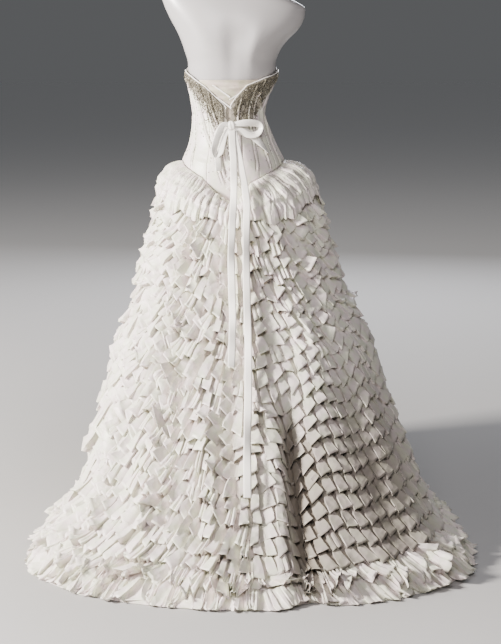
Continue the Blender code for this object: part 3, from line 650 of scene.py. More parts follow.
PANEL_CUTS = {
    "back": (0.095, 0.370, 0.72), "side_back": (0.085, 0.290, 0.80), "side": (0.105, 0.290, 0.85),
    "front": (0.190, 0.390, 0.75), "centre_front": (0.110, 0.400, 0.82),
}
for panel in BODICE_PANELS:
    kind = panel[0].replace("bodice_", "").replace("_left", "").replace("_right", "")
    width, length, share = PANEL_CUTS[kind]
    points, shade_and_net_tone = panel_grid(panel)
    cloth(
        panel[0] + "_silk", points, bodice_silk, BODICE_WALL, [panel[0]],
        crisp=60,
        recess=shade_and_net_tone,
    )


# The top edge is bound with a fine bias piping of white satin over a cord.
PIPING_RADIUS = 0.0016


def satin_ribbon():
    """Woven satin: long floats that run along the ribbon and give it a soft, directional gloss."""
    material, shader, place = new_finish(
        "duchess_satin_ribbon", IOR=1.5, Roughness=0.30, Sheen_Weight=0.15, Anisotropic=0.35,
        Specular_IOR_Level=0.5,
    )
    # floats 0.2 mm wide, drawn 1 mm apart
    floats = along_cloth(material, place, (1000.0, 60.0, 1.0), 1.0)
    cloud = noise(material, place, 40.0, 3.0)
    return dressed(
        material, shader,
        tint=mixed(material, (cloud, "Fac"), "#EFEAE0", "#FAF7F0"),
        bump=bumped(material, (floats, "Fac"), 0.25, 0.0002),
    )


def tube_along(name, path, radius, material, sides=8):
    """A round cord through a line of points, as a closed tube."""
    path = np.asarray(path)
    along = np.gradient(path, axis=0)
    along /= np.linalg.norm(along, axis=1, keepdims=True)
    away = path * (1, 1, 0)
    across = np.cross(along, away)
    across /= np.linalg.norm(across, axis=1, keepdims=True)
    out = np.cross(across, along)
    turns = np.linspace(0, 2 * math.pi, sides, endpoint=False)
    rings = path[:, None] + radius * (
        np.cos(turns)[None, :, None] * across[:, None] + np.sin(turns)[None, :, None] * out[:, None]
    )
    return grid_mesh(name, rings.transpose(1, 0, 2), material, closed=True, crisp=60)


ribbon_satin = satin_ribbon()
piping_turns = np.linspace(0.3, 359.7, 260)
piping_height = top_edge(piping_turns)
piping_path = off_body(
    clear_of_lacing(piping_turns, piping_height), piping_height + 0.0012, -0.0008
)
piping = tube_along("top_edge_piping", piping_path, PIPING_RADIUS, ribbon_satin)
shown(piping, "satin_ribbon", "bodice_piping")


# Bands of net lace follow the top edge on each side of the back, scalloped below and worked with
# sprays of small glass beads in dull olive grey.
LACE_WIDTH = ((8, 0.052), (14, 0.050), (35, 0.040), (60, 0.030), (84, 0.020))
LACE_START, LACE_END = 8, 83
LACE_GAP = 0.0019
LACE_WALL = 0.0006
LACE_SCALLOP = 0.005
SCALLOPS = 7


def beaded_net():
    """Silk net closely sewn with matt beads: a dull grain of light and dark 1.5 mm spots."""
    material, shader, place = new_finish(
        "beaded_silk_net", IOR=1.5, Roughness=0.5, Sheen_Weight=0.2
    )
    # threads of the net about 1.5 mm apart
    cells = add_node(material, "ShaderNodeTexVoronoi", inputs={
        "Vector": (place, "Object"), "Scale": 600.0})
    cloud = noise(material, place, 90.0, 3.0)
    ramp = ranged(material, (cloud, "Fac"), From_Min=0.40, From_Max=0.62)
    return dressed(
        material, shader,
        tint=mixed(material, (ramp, "Result"), "#5A5545", "#948D7B"),
        bump=bumped(material, (cells, "Distance"), 0.8, 0.0006),
    )


def glass_beads():
    """Small pressed-glass beads, greyish olive with a soft lustre."""
    material, shader, place = new_finish(
        "pressed_glass_bead_olive", IOR=1.5, Roughness=0.22, Coat_Weight=0.3
    )
    shade = noise(material, place, 260.0, 1.0)
    return dressed(material, shader, tint=mixed(material, (shade, "Fac"), "#38342A", "#857E6D"))


BEAD_RADIUS = 0.00125
# a spray of leaves off a stem: along it, aside from it, both in metres
SPRAY = (
    (0.000, 0.000), (0.003, 0.001), (0.006, 0.0015), (0.009, 0.001), (0.012, 0.000),
    (0.004, 0.0045), (0.006, 0.0070), (0.009, 0.0085), (0.003, -0.0035), (0.0045, -0.0065),
    (0.007, -0.0085), (0.010, 0.0045), (0.013, 0.0060), (0.010, -0.0035), (0.013, -0.0050),
    (0.015, -0.0010),
)
SPRAY_STEP = 7.5             # degrees between sprays along the band
SEWN_RADIUS = 0.12           # the body's mean radius, which turns metres round it to degrees


def lace_edges(turn, side):
    top = top_edge(side * turn) - 0.0015
    swing = np.pi * SCALLOPS * (turn - LACE_START) / (LACE_END - LACE_START)
    scallop = LACE_SCALLOP * np.abs(np.sin(swing))
    return top, top - np.interp(turn, *zip(*LACE_WIDTH)) - scallop


def swung(along, aside, heading):
    """A place off a stem, turned to the stem's heading."""
    return (
        along * math.cos(heading) - aside * math.sin(heading),
        along * math.sin(heading) + aside * math.cos(heading),
    )


def add_beads(name, places, material, radius):
    """One small bead copied to each place as a mesh of its own, joined into one piece."""
    start = bmesh.new()
    bmesh.ops.create_icosphere(start, subdivisions=1, radius=1)
    shape = np.array([v.co for v in start.verts])
    sides = [[v.index for v in f.verts] for f in start.faces]
    start.free()
    points, faces = [], []
    for place, size in places:
        first = len(points)
        points += (np.asarray(place) + shape * radius * size).tolist()
        faces += [[first + i for i in side] for side in sides]
    data = bpy.data.meshes.new(name)
    data.from_pydata(points, [], faces)
    data.materials.append(material)
    data.shade_smooth()
    shown(placed(name, data), "beaded_lace")


net = beaded_net()
bead_glass = glass_beads()
for name, side, seed in (("lace_band_left", 1, 11), ("lace_band_right", -1, 12)):
    turns = np.linspace(LACE_START, LACE_END, 151)[:: side]
    shares = np.linspace(0, 1, 22)
    top, bottom = lace_edges(turns[:, None], side)
    levels = top + (bottom - top) * shares[None, :]
    angles = side * turns[:, None] + 0 * levels
    points = off_body(angles, levels, LACE_GAP + LACE_WALL + bodice_relief(angles % 360, levels))
    lace = grid_mesh(name + "_net", points, net, crisp=60)
    # the openings of the lace are cut through between its sprays
    shape = bmesh.new()
    shape.from_mesh(lace.data)
    shape.faces.ensure_lookup_table()
    cut = []
    for column in range(len(turns) - 1):
        for row in range(len(shares) - 1):
            across, down = column / 10, row / 5
            aside = (across + 0.5 * (math.floor(down) % 2)) % 1
            within = 2 < row < len(shares) - 4 and 3 < column < len(turns) - 5
            if within and abs(aside - 0.5) + 0.7 * abs(down % 1 - 0.5) < 0.27:
                cut.append(shape.faces[column * (len(shares) - 1) + row])
    bmesh.ops.delete(shape, geom=cut, context="FACES")
    shape.to_mesh(lace.data)
    shape.free()
    finished(lace, "SOLIDIFY", thickness=LACE_WALL, offset=-1)
    shown(lace, "beaded_lace", name)
    chance = np.random.default_rng(seed)
    places = []
    for turn in np.arange(LACE_START + 2, LACE_END - 2, SPRAY_STEP / 2):
        high, low = lace_edges(turn, side)
        for level in np.arange(high - 0.007, low + 0.006, -0.0125):
            heading = chance.uniform(0, 2 * math.pi)
            for along, aside in SPRAY:
                if chance.random() < 0.25:
                    continue
                x, z = swung(along, aside, heading)
                spot = side * turn + math.degrees(x / SEWN_RADIUS)
                place = min(level + z * 0.7, lace_edges(abs(spot), side)[0] - 0.002)
                size = chance.uniform(0.7, 1.25)
                relief = bodice_relief(np.array(spot % 360.0), np.array(place))
                stand = LACE_GAP + LACE_WALL + BEAD_RADIUS * 0.6 + relief
                places.append((off_body(spot, place, stand), size))
    add_beads(name + "_beads", places, bead_glass, BEAD_RADIUS)


# Leafy scrolls in tarnished silver thread spread from the lace over the silk, beads are dotted over
# the whole bodice, and the casings are saddle-stitched down both sides in the same thread.
# angle, depth below the top edge that the scrolls reach, on each side
SPILL_LEFT = ((9, 0.088), (22, 0.096), (40, 0.080), (62, 0.056), (84, 0.036))
SPILL_RIGHT = ((9, 0.084), (22, 0.112), (44, 0.114), (64, 0.080), (84, 0.048))
# each leaf of a scroll: along its stem, beside it, its turn from the stem, its length
SCROLL = (
    (0.000, 0.000, 0, 0.0074), (0.007, 0.001, 25, 0.0080), (0.014, 0.005, 50, 0.0076),
    (0.003, 0.007, 80, 0.0062), (0.010, -0.005, -60, 0.0068), (0.018, -0.001, -20, 0.0060),
    (0.016, 0.011, 110, 0.0056),
)
STITCH_STEP, CASING_RADIUS = 0.0058, 0.125


def tarnished_thread():
    """Twisted silver-grey embroidery thread, dulled with age, laid in satin stitch."""
    material, shader, place = new_finish(
        "tarnished_silver_thread", IOR=1.5, Roughness=0.45, Metallic=0.25, Sheen_Weight=0.1
    )
    shade = noise(material, place, 190.0, 2.0)
    ramp = ranged(material, (shade, "Fac"), From_Min=0.36, From_Max=0.64)
    # threads 0.4 mm wide, drawn 1 mm apart
    threads = noise(material, place, 1000.0, 0.0)
    return dressed(
        material, shader,
        tint=mixed(material, (ramp, "Result"), "#454133", "#857E6C"),
        bump=bumped(material, (threads, "Fac"), 0.5, 0.0004),
    )


def sewn_on(spots, stand):
    """Places on the silk for (angle, height, size) spots."""
    turns, levels, sizes = np.array(spots).T
    return list(zip(off_body(turns, levels, stand + bodice_relief(turns % 360, levels)), sizes))


def add_leaves(name, leaves, stand):
    """Padded leaves of (angle, height, direction, length), joined into one piece."""
    turns, levels, ways, lengths = np.array(leaves).T
    places = off_body(turns, levels, stand + bodice_relief(turns % 360, levels))
    normals = normal_to(body, turns, levels)
    across = np.cross(normals, (0.0, 0.0, 1.0))
    across /= np.linalg.norm(across, axis=1, keepdims=True)
    upward = np.cross(across, normals)
    rim = np.radians(np.arange(0, 360, 45))
    outline = [(math.cos(a), 0.42 * math.sin(a) * (1 - 0.35 * math.cos(a)), 0.0) for a in rim]
    shape = np.array(outline + [(0.0, 0.0, 0.30), (0.0, 0.0, -0.20)])
    way = np.stack((np.cos(ways), np.sin(ways)), axis=-1)
    long = across * way[:, :1] + upward * way[:, 1:]
    wide = upward * way[:, :1] - across * way[:, 1:]
    frame = np.stack((long, wide, normals), axis=1) * (lengths / 2)[:, None, None]
    points = places[:, None, :] + np.einsum("pk,nkd->npd", shape, frame)
    fan = [(i, (i + 1) % 8, 8) for i in range(8)] + [((i + 1) % 8, i, 9) for i in range(8)]
    faces = (np.array(fan)[None] + 10 * np.arange(len(points))[:, None, None]).reshape(-1, 3)
    data = bpy.data.meshes.new(name)
    data.from_pydata(points.reshape(-1, 3).tolist(), [], faces.tolist())
    data.materials.append(silver_thread)
    data.shade_smooth()
    shown(placed(name, data), "beaded_lace")


silver_thread = tarnished_thread()
for name, side, spill, seed in (
    ("scrolls_left", 1, SPILL_LEFT, 61), ("scrolls_right", -1, SPILL_RIGHT, 62)
):
    chance = np.random.default_rng(seed)
    leaves, on_lace = [], []
    for turn in np.arange(10, 85, 5.2):
        reach = np.interp(turn, *zip(*spill))
        for below in np.arange(0.009, reach, 0.0150):
            middle = side * (turn + chance.uniform(-2.0, 2.0))
            level = float(top_edge(side * turn)) - below + chance.uniform(-0.003, 0.003)
            heading = chance.uniform(0, 2 * math.pi)
            for along, aside, turned, length in SCROLL:
                x, z = swung(along, aside, heading)
                spot = middle + math.degrees(x / SEWN_RADIUS)
                low = float(top_edge(spot)) - float(np.interp(abs(spot), *zip(*LACE_WIDTH)))
                place = level + z
                if not 7 < side * spot < 88 or place > float(top_edge(spot)) - 0.005:
                    continue
                length_here = length * chance.uniform(0.85, 1.2)
                leaf = (spot, place, heading + math.radians(turned), length_here)
                (on_lace if place > low - 0.004 else leaves).append(leaf)
    add_leaves(name, leaves, 0.0003)
    add_leaves(name + "_on_lace", on_lace, LACE_GAP + LACE_WALL + 0.0004)
chance = np.random.default_rng(63)
spots = []
for _ in range(170):
    turn, level = chance.uniform(-180, 180), chance.uniform(0.99, 1.19)
    if abs(turn) > 8 and hip_seam(turn) + 0.02 < level < top_edge(turn) - 0.02:
        spots.append((turn, level, chance.uniform(0.8, 1.3)))
add_beads("bodice_beads", sewn_on(spots, 0.0006), bead_glass, 0.00150)
spots = []
for bone in BONES:
    levels, turns = zip(*sorted(bone))
    for level in np.arange(levels[0] + 0.004, levels[-1] - 0.004, STITCH_STEP):
        middle = float(np.interp(level, levels, turns))
        for side in (-1, 1):
            turn = middle + side * math.degrees(STITCH_ASIDE / CASING_RADIUS)
            if abs(turn) > 5:
                spots.append((turn, level, 1.0))
add_beads("casing_stitches", sewn_on(spots, 0.0003), silver_thread, 0.00105)


# The lacing is narrow satin ribbon threaded from edge to edge.  Above the bow it crosses the open V
# over the modesty panel, and below it zigzags down the closed back.
LACING_WIDTH = 0.0042
LACING_CROSSINGS = 5
LACING_TOP, LACING_BOTTOM = 1.092, 0.945
LACING_REACH, LACING_TURN = 0.017, 0.004
LACING_STAND, CORD_STEP = 0.0026, 0.0034
# start and end of each ribbon over the V: x and height
OPEN_LACES = (
    (0.056, 1.248, 0.004, 1.212),
    (0.045, 1.212, 0.001, 1.180),
    (-0.046, 1.236, 0.006, 1.205),
)


def through(points, count):
    """More points on a smooth curve through these."""
    points = np.asarray(points, float)
    lengths = lengths_along(points[:, :3])
    slopes = np.gradient(points, lengths, axis=0)
    places = np.linspace(0, lengths[-1], count)
    index = np.clip(np.searchsorted(lengths, places, side="right") - 1, 0, len(points) - 2)
    step = (lengths[index + 1] - lengths[index])[:, None]
    t = (places - lengths[index])[:, None] / step
    return smooth_curve(points, slopes, index, step, t)


def ribbon_grid(middle, faces, width, twist=0.0, cup=0.0):
    """A ribbon along a line of points, lying across the given face directions."""
    along = np.gradient(middle, axis=0)
    along /= np.linalg.norm(along, axis=1, keepdims=True)
    across = np.cross(along, faces)
    across /= np.linalg.norm(across, axis=1, keepdims=True)
    out = np.cross(across, along)
    turn = np.radians(np.broadcast_to(twist, len(middle)))[:, None]
    across, out = (
        across * np.cos(turn) + out * np.sin(turn), out * np.cos(turn) - across * np.sin(turn)
    )
    shares = np.linspace(-1, 1, 7)
    return np.stack([
        middle + across * share * width / 2 + out * cup * (1 - share**2) for share in shares
    ])


def beside_body(x, height):
    """The angle on the back of the body at a distance beside its middle."""
    section = on_section(BODY_SECTIONS, np.asarray(height, float))
    side = np.clip((x - section[..., 2]) / section[..., 1], -0.99, 0.99)
    return np.degrees(np.arcsin(np.copysign(np.abs(side) ** (1 / BODY_SQUARENESS), side)))


def ribbon(name, grid, nodes=()):
    item = grid_mesh(name, grid, ribbon_satin, crisp=50)
    finished(item, "SOLIDIFY", thickness=0.0005, offset=0)
    shown(item, "satin_ribbon", *nodes)


for number, (name, start_side) in enumerate((("lacing_inner", 1), ("lacing_outer", -1))):
    stops = []
    for crossing in range(LACING_CROSSINGS + 1):
        height = LACING_TOP + (LACING_BOTTOM - LACING_TOP) * crossing / LACING_CROSSINGS
        side = start_side * (-1) ** crossing
        for shift, share in ((LACING_TURN, 0.8), (0, 1), (-LACING_TURN, 0.8)):
            place = height + shift
            radius = on_section(BODY_SECTIONS, np.array(place))[1]
            angle = math.degrees(side * LACING_REACH * share / radius)
            stops.append((angle, place))
    stops = through(stops, 240)
    faces = normal_to(body, stops[:, 0], stops[:, 1])
    middle = body(stops[:, 0], stops[:, 1]) + faces * (LACING_STAND + number * CORD_STEP * 0.6)
    length = float(steps_along(middle).sum())
    ribbon(name + "_ribbon", ribbon_grid(middle, faces, LACING_WIDTH * 0.8, cup=0.0004),
           nodes=[name])
for number, (x_start, start, x_end, end) in enumerate(OPEN_LACES):
    shares = np.linspace(0, 1, 24)
    levels = start + (end - start) * shares
    turns = beside_body(x_start + (x_end - x_start) * shares, levels)
    faces = normal_to(body, turns, levels)
    sag = 0.0016 + 0.0004 * number - 0.0032 * np.sin(np.pi * shares) ** 0.5
    grid = ribbon_grid(body(turns, levels) + faces * sag[:, None], faces, LACING_WIDTH)
    ribbon(f"open_lace_{number + 1}", grid)


# The skirt hangs from a foundation of eight gores that widen to the train.  A deep fold runs down
# the right of the train where the hem has been gathered in.

# height, half width, shift to the left, y of the widest point, y of the back, y of the front
SKIRT_SECTIONS = (
    (0.000, 0.592, -0.055, 0.713, 1.083, -0.425),
    (0.034, 0.560, -0.055, 0.665, 1.027, -0.413),
    (0.080, 0.508, -0.056, 0.600, 0.955, -0.400),
    (0.147, 0.465, -0.056, 0.510, 0.855, -0.380),
    (0.250, 0.434, -0.050, 0.400, 0.725, -0.348),
    (0.370, 0.395, -0.043, 0.290, 0.590, -0.312),
    (0.500, 0.357, -0.038, 0.200, 0.475, -0.275),
    (0.620, 0.305, -0.027, 0.120, 0.370, -0.240),
    (0.750, 0.271, -0.020, 0.050, 0.270, -0.200),
    (0.850, 0.243, -0.018, 0.023, 0.213, -0.172),
    (0.940, 0.219, -0.015, 0.006, 0.171, -0.142),
    (0.990, 0.190, -0.010, 0.002, 0.150, -0.122),
    (1.022, 0.153, -0.004, 0.000, 0.122, -0.106),
)
FRILL_LINE_BACK, FRILL_LINE_SIDE, FRILL_LINE_FRONT = 0.856, 0.922, 0.870
FRILL_LINE_ROUNDNESS = 1.5
VALLEY_ANGLE, VALLEY_SPREAD, VALLEY_DEPTH = 345.2, 5.6, 0.070
VALLEY_PROFILE = ((0.00, 0.55), (0.05, 1.00), (0.30, 1.00), (0.42, 0.00), (1.10, 0.00))
GORES = (
    "gore_back_left", "gore_side_back_left", "gore_side_front_left", "gore_front_left",
    "gore_front_right", "gore_side_front_right", "gore_side_back_right", "gore_back_right",
)
FLOOR_CLEARANCE = 0.0015


def skirt_at(angle, height):
    section = on_section(SKIRT_SECTIONS, height)
    x, y = two_half_ellipses(angle, *(section[..., i] for i in range(1, 6)))
    valley = VALLEY_DEPTH * bell(turn_between(angle, VALLEY_ANGLE), VALLEY_SPREAD) * np.interp(
        height, *zip(*VALLEY_PROFILE)
    )
    return np.stack((x, y - valley, height), axis=-1)


def frill_line(angle):
    """The height where the flounce ends and the frills begin."""
    behind = np.cos(np.radians(angle))
    end = np.where(behind > 0, FRILL_LINE_BACK, FRILL_LINE_FRONT)
    return FRILL_LINE_SIDE + (end - FRILL_LINE_SIDE) * np.abs(behind) ** FRILL_LINE_ROUNDNESS


def skirt(angle, height):
    """The foundation: it leaves the body at the hip seam and swells until the frills begin."""
    angle, height = np.broadcast_arrays(np.asarray(angle, float), np.asarray(height, float))
    seam = hip_seam(angle)
    fade = smooth_step(frill_line(angle), seam, height)[..., None]
    return skirt_at(angle, height) + (body(angle, seam) - skirt_at(angle, seam)) * fade


def heights_down_the_slant():
    """For every degree round the skirt, the heights at even steps down its slant."""
    turns = np.arange(361.0)
    table = []
    for turn in turns:
        heights = np.linspace(frill_line(turn), 0, 161)
        lengths = lengths_along(skirt(turn, heights))
        table.append(np.interp(np.linspace(0, 1, 201), lengths / lengths[-1], heights))
    return np.array(table)


slant_heights = heights_down_the_slant()


def height_at(angle, slant):
    """slant is -1 at the hip seam, 0 at the first frill and 1 at the floor."""
    turn = angle % 360
    low = np.floor(turn).astype(int)
    place = np.clip(slant, 0, 1) * 200
    step = np.minimum(np.floor(place).astype(int), 199)
    a, b = turn - low, place - step
    high = (low + 1) % 361
    below = slant_heights[low, step] * (1 - b) + slant_heights[low, step + 1] * b
    beyond = slant_heights[high, step] * (1 - b) + slant_heights[high, step + 1] * b
    in_frills = below * (1 - a) + beyond * a
    in_flounce = frill_line(angle) - slant * (hip_seam(angle) - frill_line(angle))
    return np.where(slant < 0, in_flounce, in_frills)


def foundation(angle, slant):
    angle, slant = np.broadcast_arrays(np.asarray(angle, float), np.asarray(slant, float))
    return skirt(angle, height_at(angle, slant))


def off_skirt(angle, slant, stand):
    given = (np.asarray(value, float) for value in (angle, slant, stand))
    angle, slant, stand = np.broadcast_arrays(*given)
    inside = np.minimum(slant, 0.992)
    normal = normal_to(foundation, angle, inside, nudge=0.006)
    points = foundation(angle, slant) + normal * stand[..., None]
    points[..., 2] = np.maximum(points[..., 2], FLOOR_CLEARANCE)
    return points


# deep is the colour of the shade painted into the frills and the flounce
frill_silk = silk_taffeta(
    "silk_taffeta_skirt", light="#F4F2ED", shade="#E8E4DC", deep="#7A7165", creases=0.7
)
# width at the hem, length and the share of that rectangle each cut fills
GORE_CUTS = {
    "gore_back": (0.52, 1.38, 0.60), "gore_side_back": (0.50, 1.05, 0.62),
    "gore_side_front": (0.72, 0.98, 0.62), "gore_front": (0.55, 0.95, 0.62),
}
gore_slants = np.concatenate((np.linspace(-0.999, 0, 14), np.linspace(0.02, 0.997, 50)))
for order, name in enumerate(GORES):
    turns = np.linspace(order * 45 + 0.06, order * 45 + 44.94, 25)[:, None]
    sway = 0.0015 * np.sin(np.radians(turns * 24)) * np.clip(gore_slants + 0.6, 0, 1)[None, :]
    points = off_skirt(turns, gore_slants[None, :], sway - 0.0006)
    width, length, share = GORE_CUTS[name.rsplit("_", 1)[0]]
    cloth(name + "_silk", points, frill_silk, 0.0012, [name])


# Twenty-four frills of crisp pleated taffeta are sewn round the gores, each overlapping the next.
# Their rows climb from the train to the sides, and one row's pleats hang over those of the next.
FRILL_ROWS, FRILL_OVERLAP = 24, 0.3
ROW_PITCH = 1 / (FRILL_ROWS + FRILL_OVERLAP)
ROW_RISE, RISE_TURN = 2.2 * ROW_PITCH, 75
HEM_ROWS = 2                 # rows of small tight ruffles along the hem
ROWS_ALIKE = 5               # rows cut with the same pleats
PLEAT_WIDTH, HEM_PLEAT_WIDTH = 0.037, 0.025
PLEAT_DEPTH = 0.021
# one pleat's fold line: share of its width, share of its depth
BOX_PLEAT = (
    (0.00, 0.00), (0.12, 0.00), (0.20, 0.03), (0.17, 0.50), (0.14, 0.96), (0.16, 1.00),
    (0.50, 0.98), (0.84, 1.00), (0.86, 0.96), (0.83, 0.50), (0.80, 0.03), (0.88, 0.00),
)
KNIFE_PLEAT = (
    (0.00, 0.02), (0.07, 0.03), (0.14, 0.10), (0.34, 0.34), (0.55, 0.58), (0.76, 0.80),
    (0.97, 1.00), (0.985, 0.95), (0.93, 0.62), (0.87, 0.30), (0.81, 0.04), (0.90, 0.00),
)
SPLIT_PLEAT = (
    (0.00, 0.00), (0.14, 0.02), (0.15, 0.55), (0.12, 0.95), (0.30, 1.02), (0.44, 0.86),
    (0.47, 0.45), (0.52, 0.80), (0.66, 0.96), (0.87, 0.90), (0.84, 0.45), (0.86, 0.02),
)
# spreads of a pleat's width, lean, length and skew; shares split or lipped; lip, roughness, painted
# shade
PLEATING = {
    "tier": dict(width=0.20, lean=0.18, longer=0.15, shortest=-0.2, skew=0.26, split=0.22,
                 lipped=0.12, lip=0.5, rough=0.0012, painted_shade_share=1.0),
    "hem": dict(width=0.38, lean=0.70, longer=0.28, shortest=-0.3, skew=0.48, split=0.45,
                lipped=0.40, lip=0.8, rough=0.0022, painted_shade_share=0.3),
}
DOWN_THE_FRILL = np.array((0.0, 0.22, 0.46, 0.70, 0.90, 1.0))


def row_slant(angle, slant):
    """Where a frill's line lies: the rows climb toward the sides, the first and last are level."""
    climb = smooth_step(0, RISE_TURN, np.abs(turn_between(angle, 0)))
    return slant - ROW_RISE * climb * 4 * slant * (1 - slant)


def drift(angle, slant, seed):
    """A slow uneven wander round and down the skirt, from about -1 to 1."""
    chance = np.random.default_rng(seed)
    total = np.zeros(np.broadcast(angle, slant).shape)
    for round_count, down_count in zip(chance.integers(3, 19, 9), chance.uniform(-9, 9, 9)):
        start = chance.uniform(0, 6.28)
        total += np.cos(np.radians(angle * round_count) + down_count * slant + start)
    return total / 3


def mostly_boxed(angle):
    """Flat box pleats on the wearer's right of the train, more knife pleats elsewhere."""
    return 0.35 + 0.60 * bell(turn_between(angle, 315), 45)


def pleated_ring(row, width, depth, hem):
    """The points of one frill: angle, slant, stand off the foundation, and the shade painted on it.
    """
    way = PLEATING["hem" if hem else "tier"]
    chance = np.random.default_rng(200 + row)
    alike = np.random.default_rng(900 + row // ROWS_ALIKE)
    top, bottom = row * ROW_PITCH, min((row + 1 + FRILL_OVERLAP) * ROW_PITCH, 1)
    turns = np.linspace(0, 360, 721)
    middle_row = (row // ROWS_ALIKE + 0.5) * ROWS_ALIKE * ROW_PITCH if not hem else top
    ring = foundation(turns, row_slant(turns, np.full(721, min(middle_row, 0.97))))
    lengths = lengths_along(ring)
    count = int(round(lengths[-1] / width * 1.12))
    spread_out = (np.arange(count) + 0.5) * 360 / count
    # pressed even on the wearer's right of the train, looser elsewhere, crumpled at the hem
    bunched = 0.9 * bell(turn_between(spread_out, 322), 10) * bell(row - 8.0, 1.6)
    pressed_even = 0.85 * bell(turn_between(spread_out, 318), 34) * (1 - bunched)
    tidy = (0 if hem else 1) * pressed_even * smooth_step(5, 11, row)
    loose = 1 - tidy
    widths = np.exp(alike.normal(0, way["width"], count) * loose)
    widths *= np.exp(chance.normal(0, 0.06, count) * loose)
    widths *= 1 - 0.42 * bell(turn_between(spread_out, 42), 48)
    widths *= lengths[-1] / widths.sum()
    starts = np.concatenate(([0], np.cumsum(widths)))[:-1]
    middle_turn = np.interp(starts + widths / 2, lengths, turns)
    leftness = np.sin(np.radians(middle_turn))
    boxed = alike.random(count) < mostly_boxed(middle_turn)
    split = chance.random(count) < way["split"] * loose
    templates = np.array((BOX_PLEAT, KNIFE_PLEAT, SPLIT_PLEAT))
    kind = np.where(split, 2, np.where(boxed, 0, 1))
    shape = templates[kind].copy()
    flipped = (kind == 1) & (leftness < 0)
    shape[flipped] = shape[flipped][:, ::-1] * (-1, 1) + (1, 0)
    faced = shape[..., 1] > 0.4
    yaw = chance.normal(0, 0.26, (count, 1)) * (0.4 + 0.6 * loose[:, None])
    shape[..., 1] += np.where(faced, yaw * (shape[..., 0] - 0.5), 0)
    mixed = chance.uniform(0.0, 0.25, (count, 1, 1)) * loose[:, None, None]
    shape = shape * (1 - mixed) + templates[chance.integers(0, 3, count)] * mixed
    deep = depth * (1 + chance.uniform(-0.30, 0.20, count) * loose - 0.34 * tidy)
    # the strips lean outward to either side of the train, and hang straight again at the front
    from_back = np.abs(turn_between(middle_turn, 0))
    outward = np.sign(leftness) * np.abs(leftness) ** 0.6 * smooth_step(175, 80, from_back)
    far = 1.5 if hem else np.where(leftness > 0, 1.30, 0.85 - 0.25 * tidy)
    lean = outward * far + chance.normal(0, way["lean"], count) * loose
    longer = np.clip(chance.normal(0.05, way["longer"], count), way["shortest"], 0.35) * loose
    skew = chance.normal(0, way["skew"], count) * loose
    skew = skew - np.where(leftness > 0, 0.42, 0.28) * outward
    fan = chance.uniform(-0.05, 0.30, count) * loose + 0.26 * tidy
    lip = chance.uniform(-0.25, 0.12, count)
    lip = lip + way["lip"] * (chance.random(count) < way["lipped"])
    lip = lip * loose - 0.06 * tidy
    base = 0.3 + chance.uniform(0.0, 0.7, count) * loose
    v = DOWN_THE_FRILL[None, None, :]
    pinch = np.minimum(1, 1.4 * v**0.6)
    points_across = shape.shape[1]
    even = (np.arange(points_across) / points_across)[None, :, None]
    t = even * (1 - pinch) + shape[..., 0, None] * pinch
    n = shape[..., 1, None] * (0.40 + 0.60 * v**0.7)
    along = starts[:, None, None] + widths[:, None, None] * (
        t + (lean[:, None, None] + fan[:, None, None] * (t - 0.5)) * v**1.2
    )
    angle = np.interp(along % lengths[-1], lengths, turns)
    reach = v * (1 + longer[:, None, None] * v) + skew[:, None, None] * (t - 0.5) * v**2
    slant = row_slant(angle, top + (bottom - top) * reach)
    wander = drift(angle, top + 0 * angle, 5)
    slant = slant + 0.30 * ROW_PITCH * wander * (4 * top * (1 - top) + 0.2)
    crush = 1 + 0.28 * drift(angle, slant, 77)
    stand = 0.0012 + 0.0060 * v * base[:, None, None]
    stand = stand + deep[:, None, None] * crush * (n + lip[:, None, None] * v**6)
    rough = chance.normal(0, way["rough"], stand.shape) * v
    # painted shade in the gaps between pleats, and over the lower part of the wearer's right of the
    # train, away from the key lamp
    shaded = way["painted_shade_share"] * bell(turn_between(angle, 312), 36)
    in_gap = np.clip(1 - 1.35 * shape[..., 1, None] - 0.1 * v, 0, 1)
    recess = (0.04 if hem else 0.50 - 0.48 * shaded) * in_gap
    recess = recess + 0.84 * shaded * smooth_step(0.26, 0.70, slant)
    # the left bank of the deep fold in the train stands over it, and shade is painted into the
    # cloth inside it and beside it toward the wearer's right
    folded = np.interp(height_at(angle, slant), *zip(*VALLEY_PROFILE))
    stand = stand + 0.019 * folded * bell(turn_between(angle, VALLEY_ANGLE + 6.0), 2.6)
    recess = recess + folded * (
        0.62 * bell(turn_between(angle, VALLEY_ANGLE), 5.2)
        + 0.22 * bell(turn_between(angle, VALLEY_ANGLE - 8), 6)
    )
    grids = (angle, np.minimum(slant, 1.0), stand + rough, np.clip(recess, 0, 1))
    return [grid.reshape(-1, len(DOWN_THE_FRILL)) for grid in grids]


for row in range(FRILL_ROWS):
    in_hem = row >= FRILL_ROWS - HEM_ROWS
    width = HEM_PLEAT_WIDTH if in_hem else PLEAT_WIDTH
    depth = PLEAT_DEPTH * (0.9 if in_hem else 1)
    angle, slant, stand, recess = pleated_ring(row, width, depth, in_hem)
    points = off_skirt(angle, slant, stand)
    if row == FRILL_ROWS - 1:
        settle = DOWN_THE_FRILL[None, :] ** 2
        points[..., 2] = FLOOR_CLEARANCE + (points[..., 2] - FLOOR_CLEARANCE) * (1 - 0.62 * settle)
        # its edge lies on the floor in uneven waves
        wave = 0.012 * drift(3 * angle[:, -1:], 0, 83) + 0.006 * drift(11 * angle[:, -1:], 0, 84)
        outward = normal_to(foundation, angle, 0 * slant + 0.97, nudge=0.006)[..., :2]
        points[..., :2] += outward * (wave * settle)[..., None]
    round_it = np.linspace(0, 360, 181)
    heading = foundation(round_it, row_slant(round_it, (row + 0.5) * ROW_PITCH))
    ring = float(steps_along(heading).sum())
    cloth(f"frill_{row + 1:02d}_silk", points, frill_silk, 0.0006, [f"frill_{row + 1:02d}"],
          closed=True, crisp=24, recess=recess)


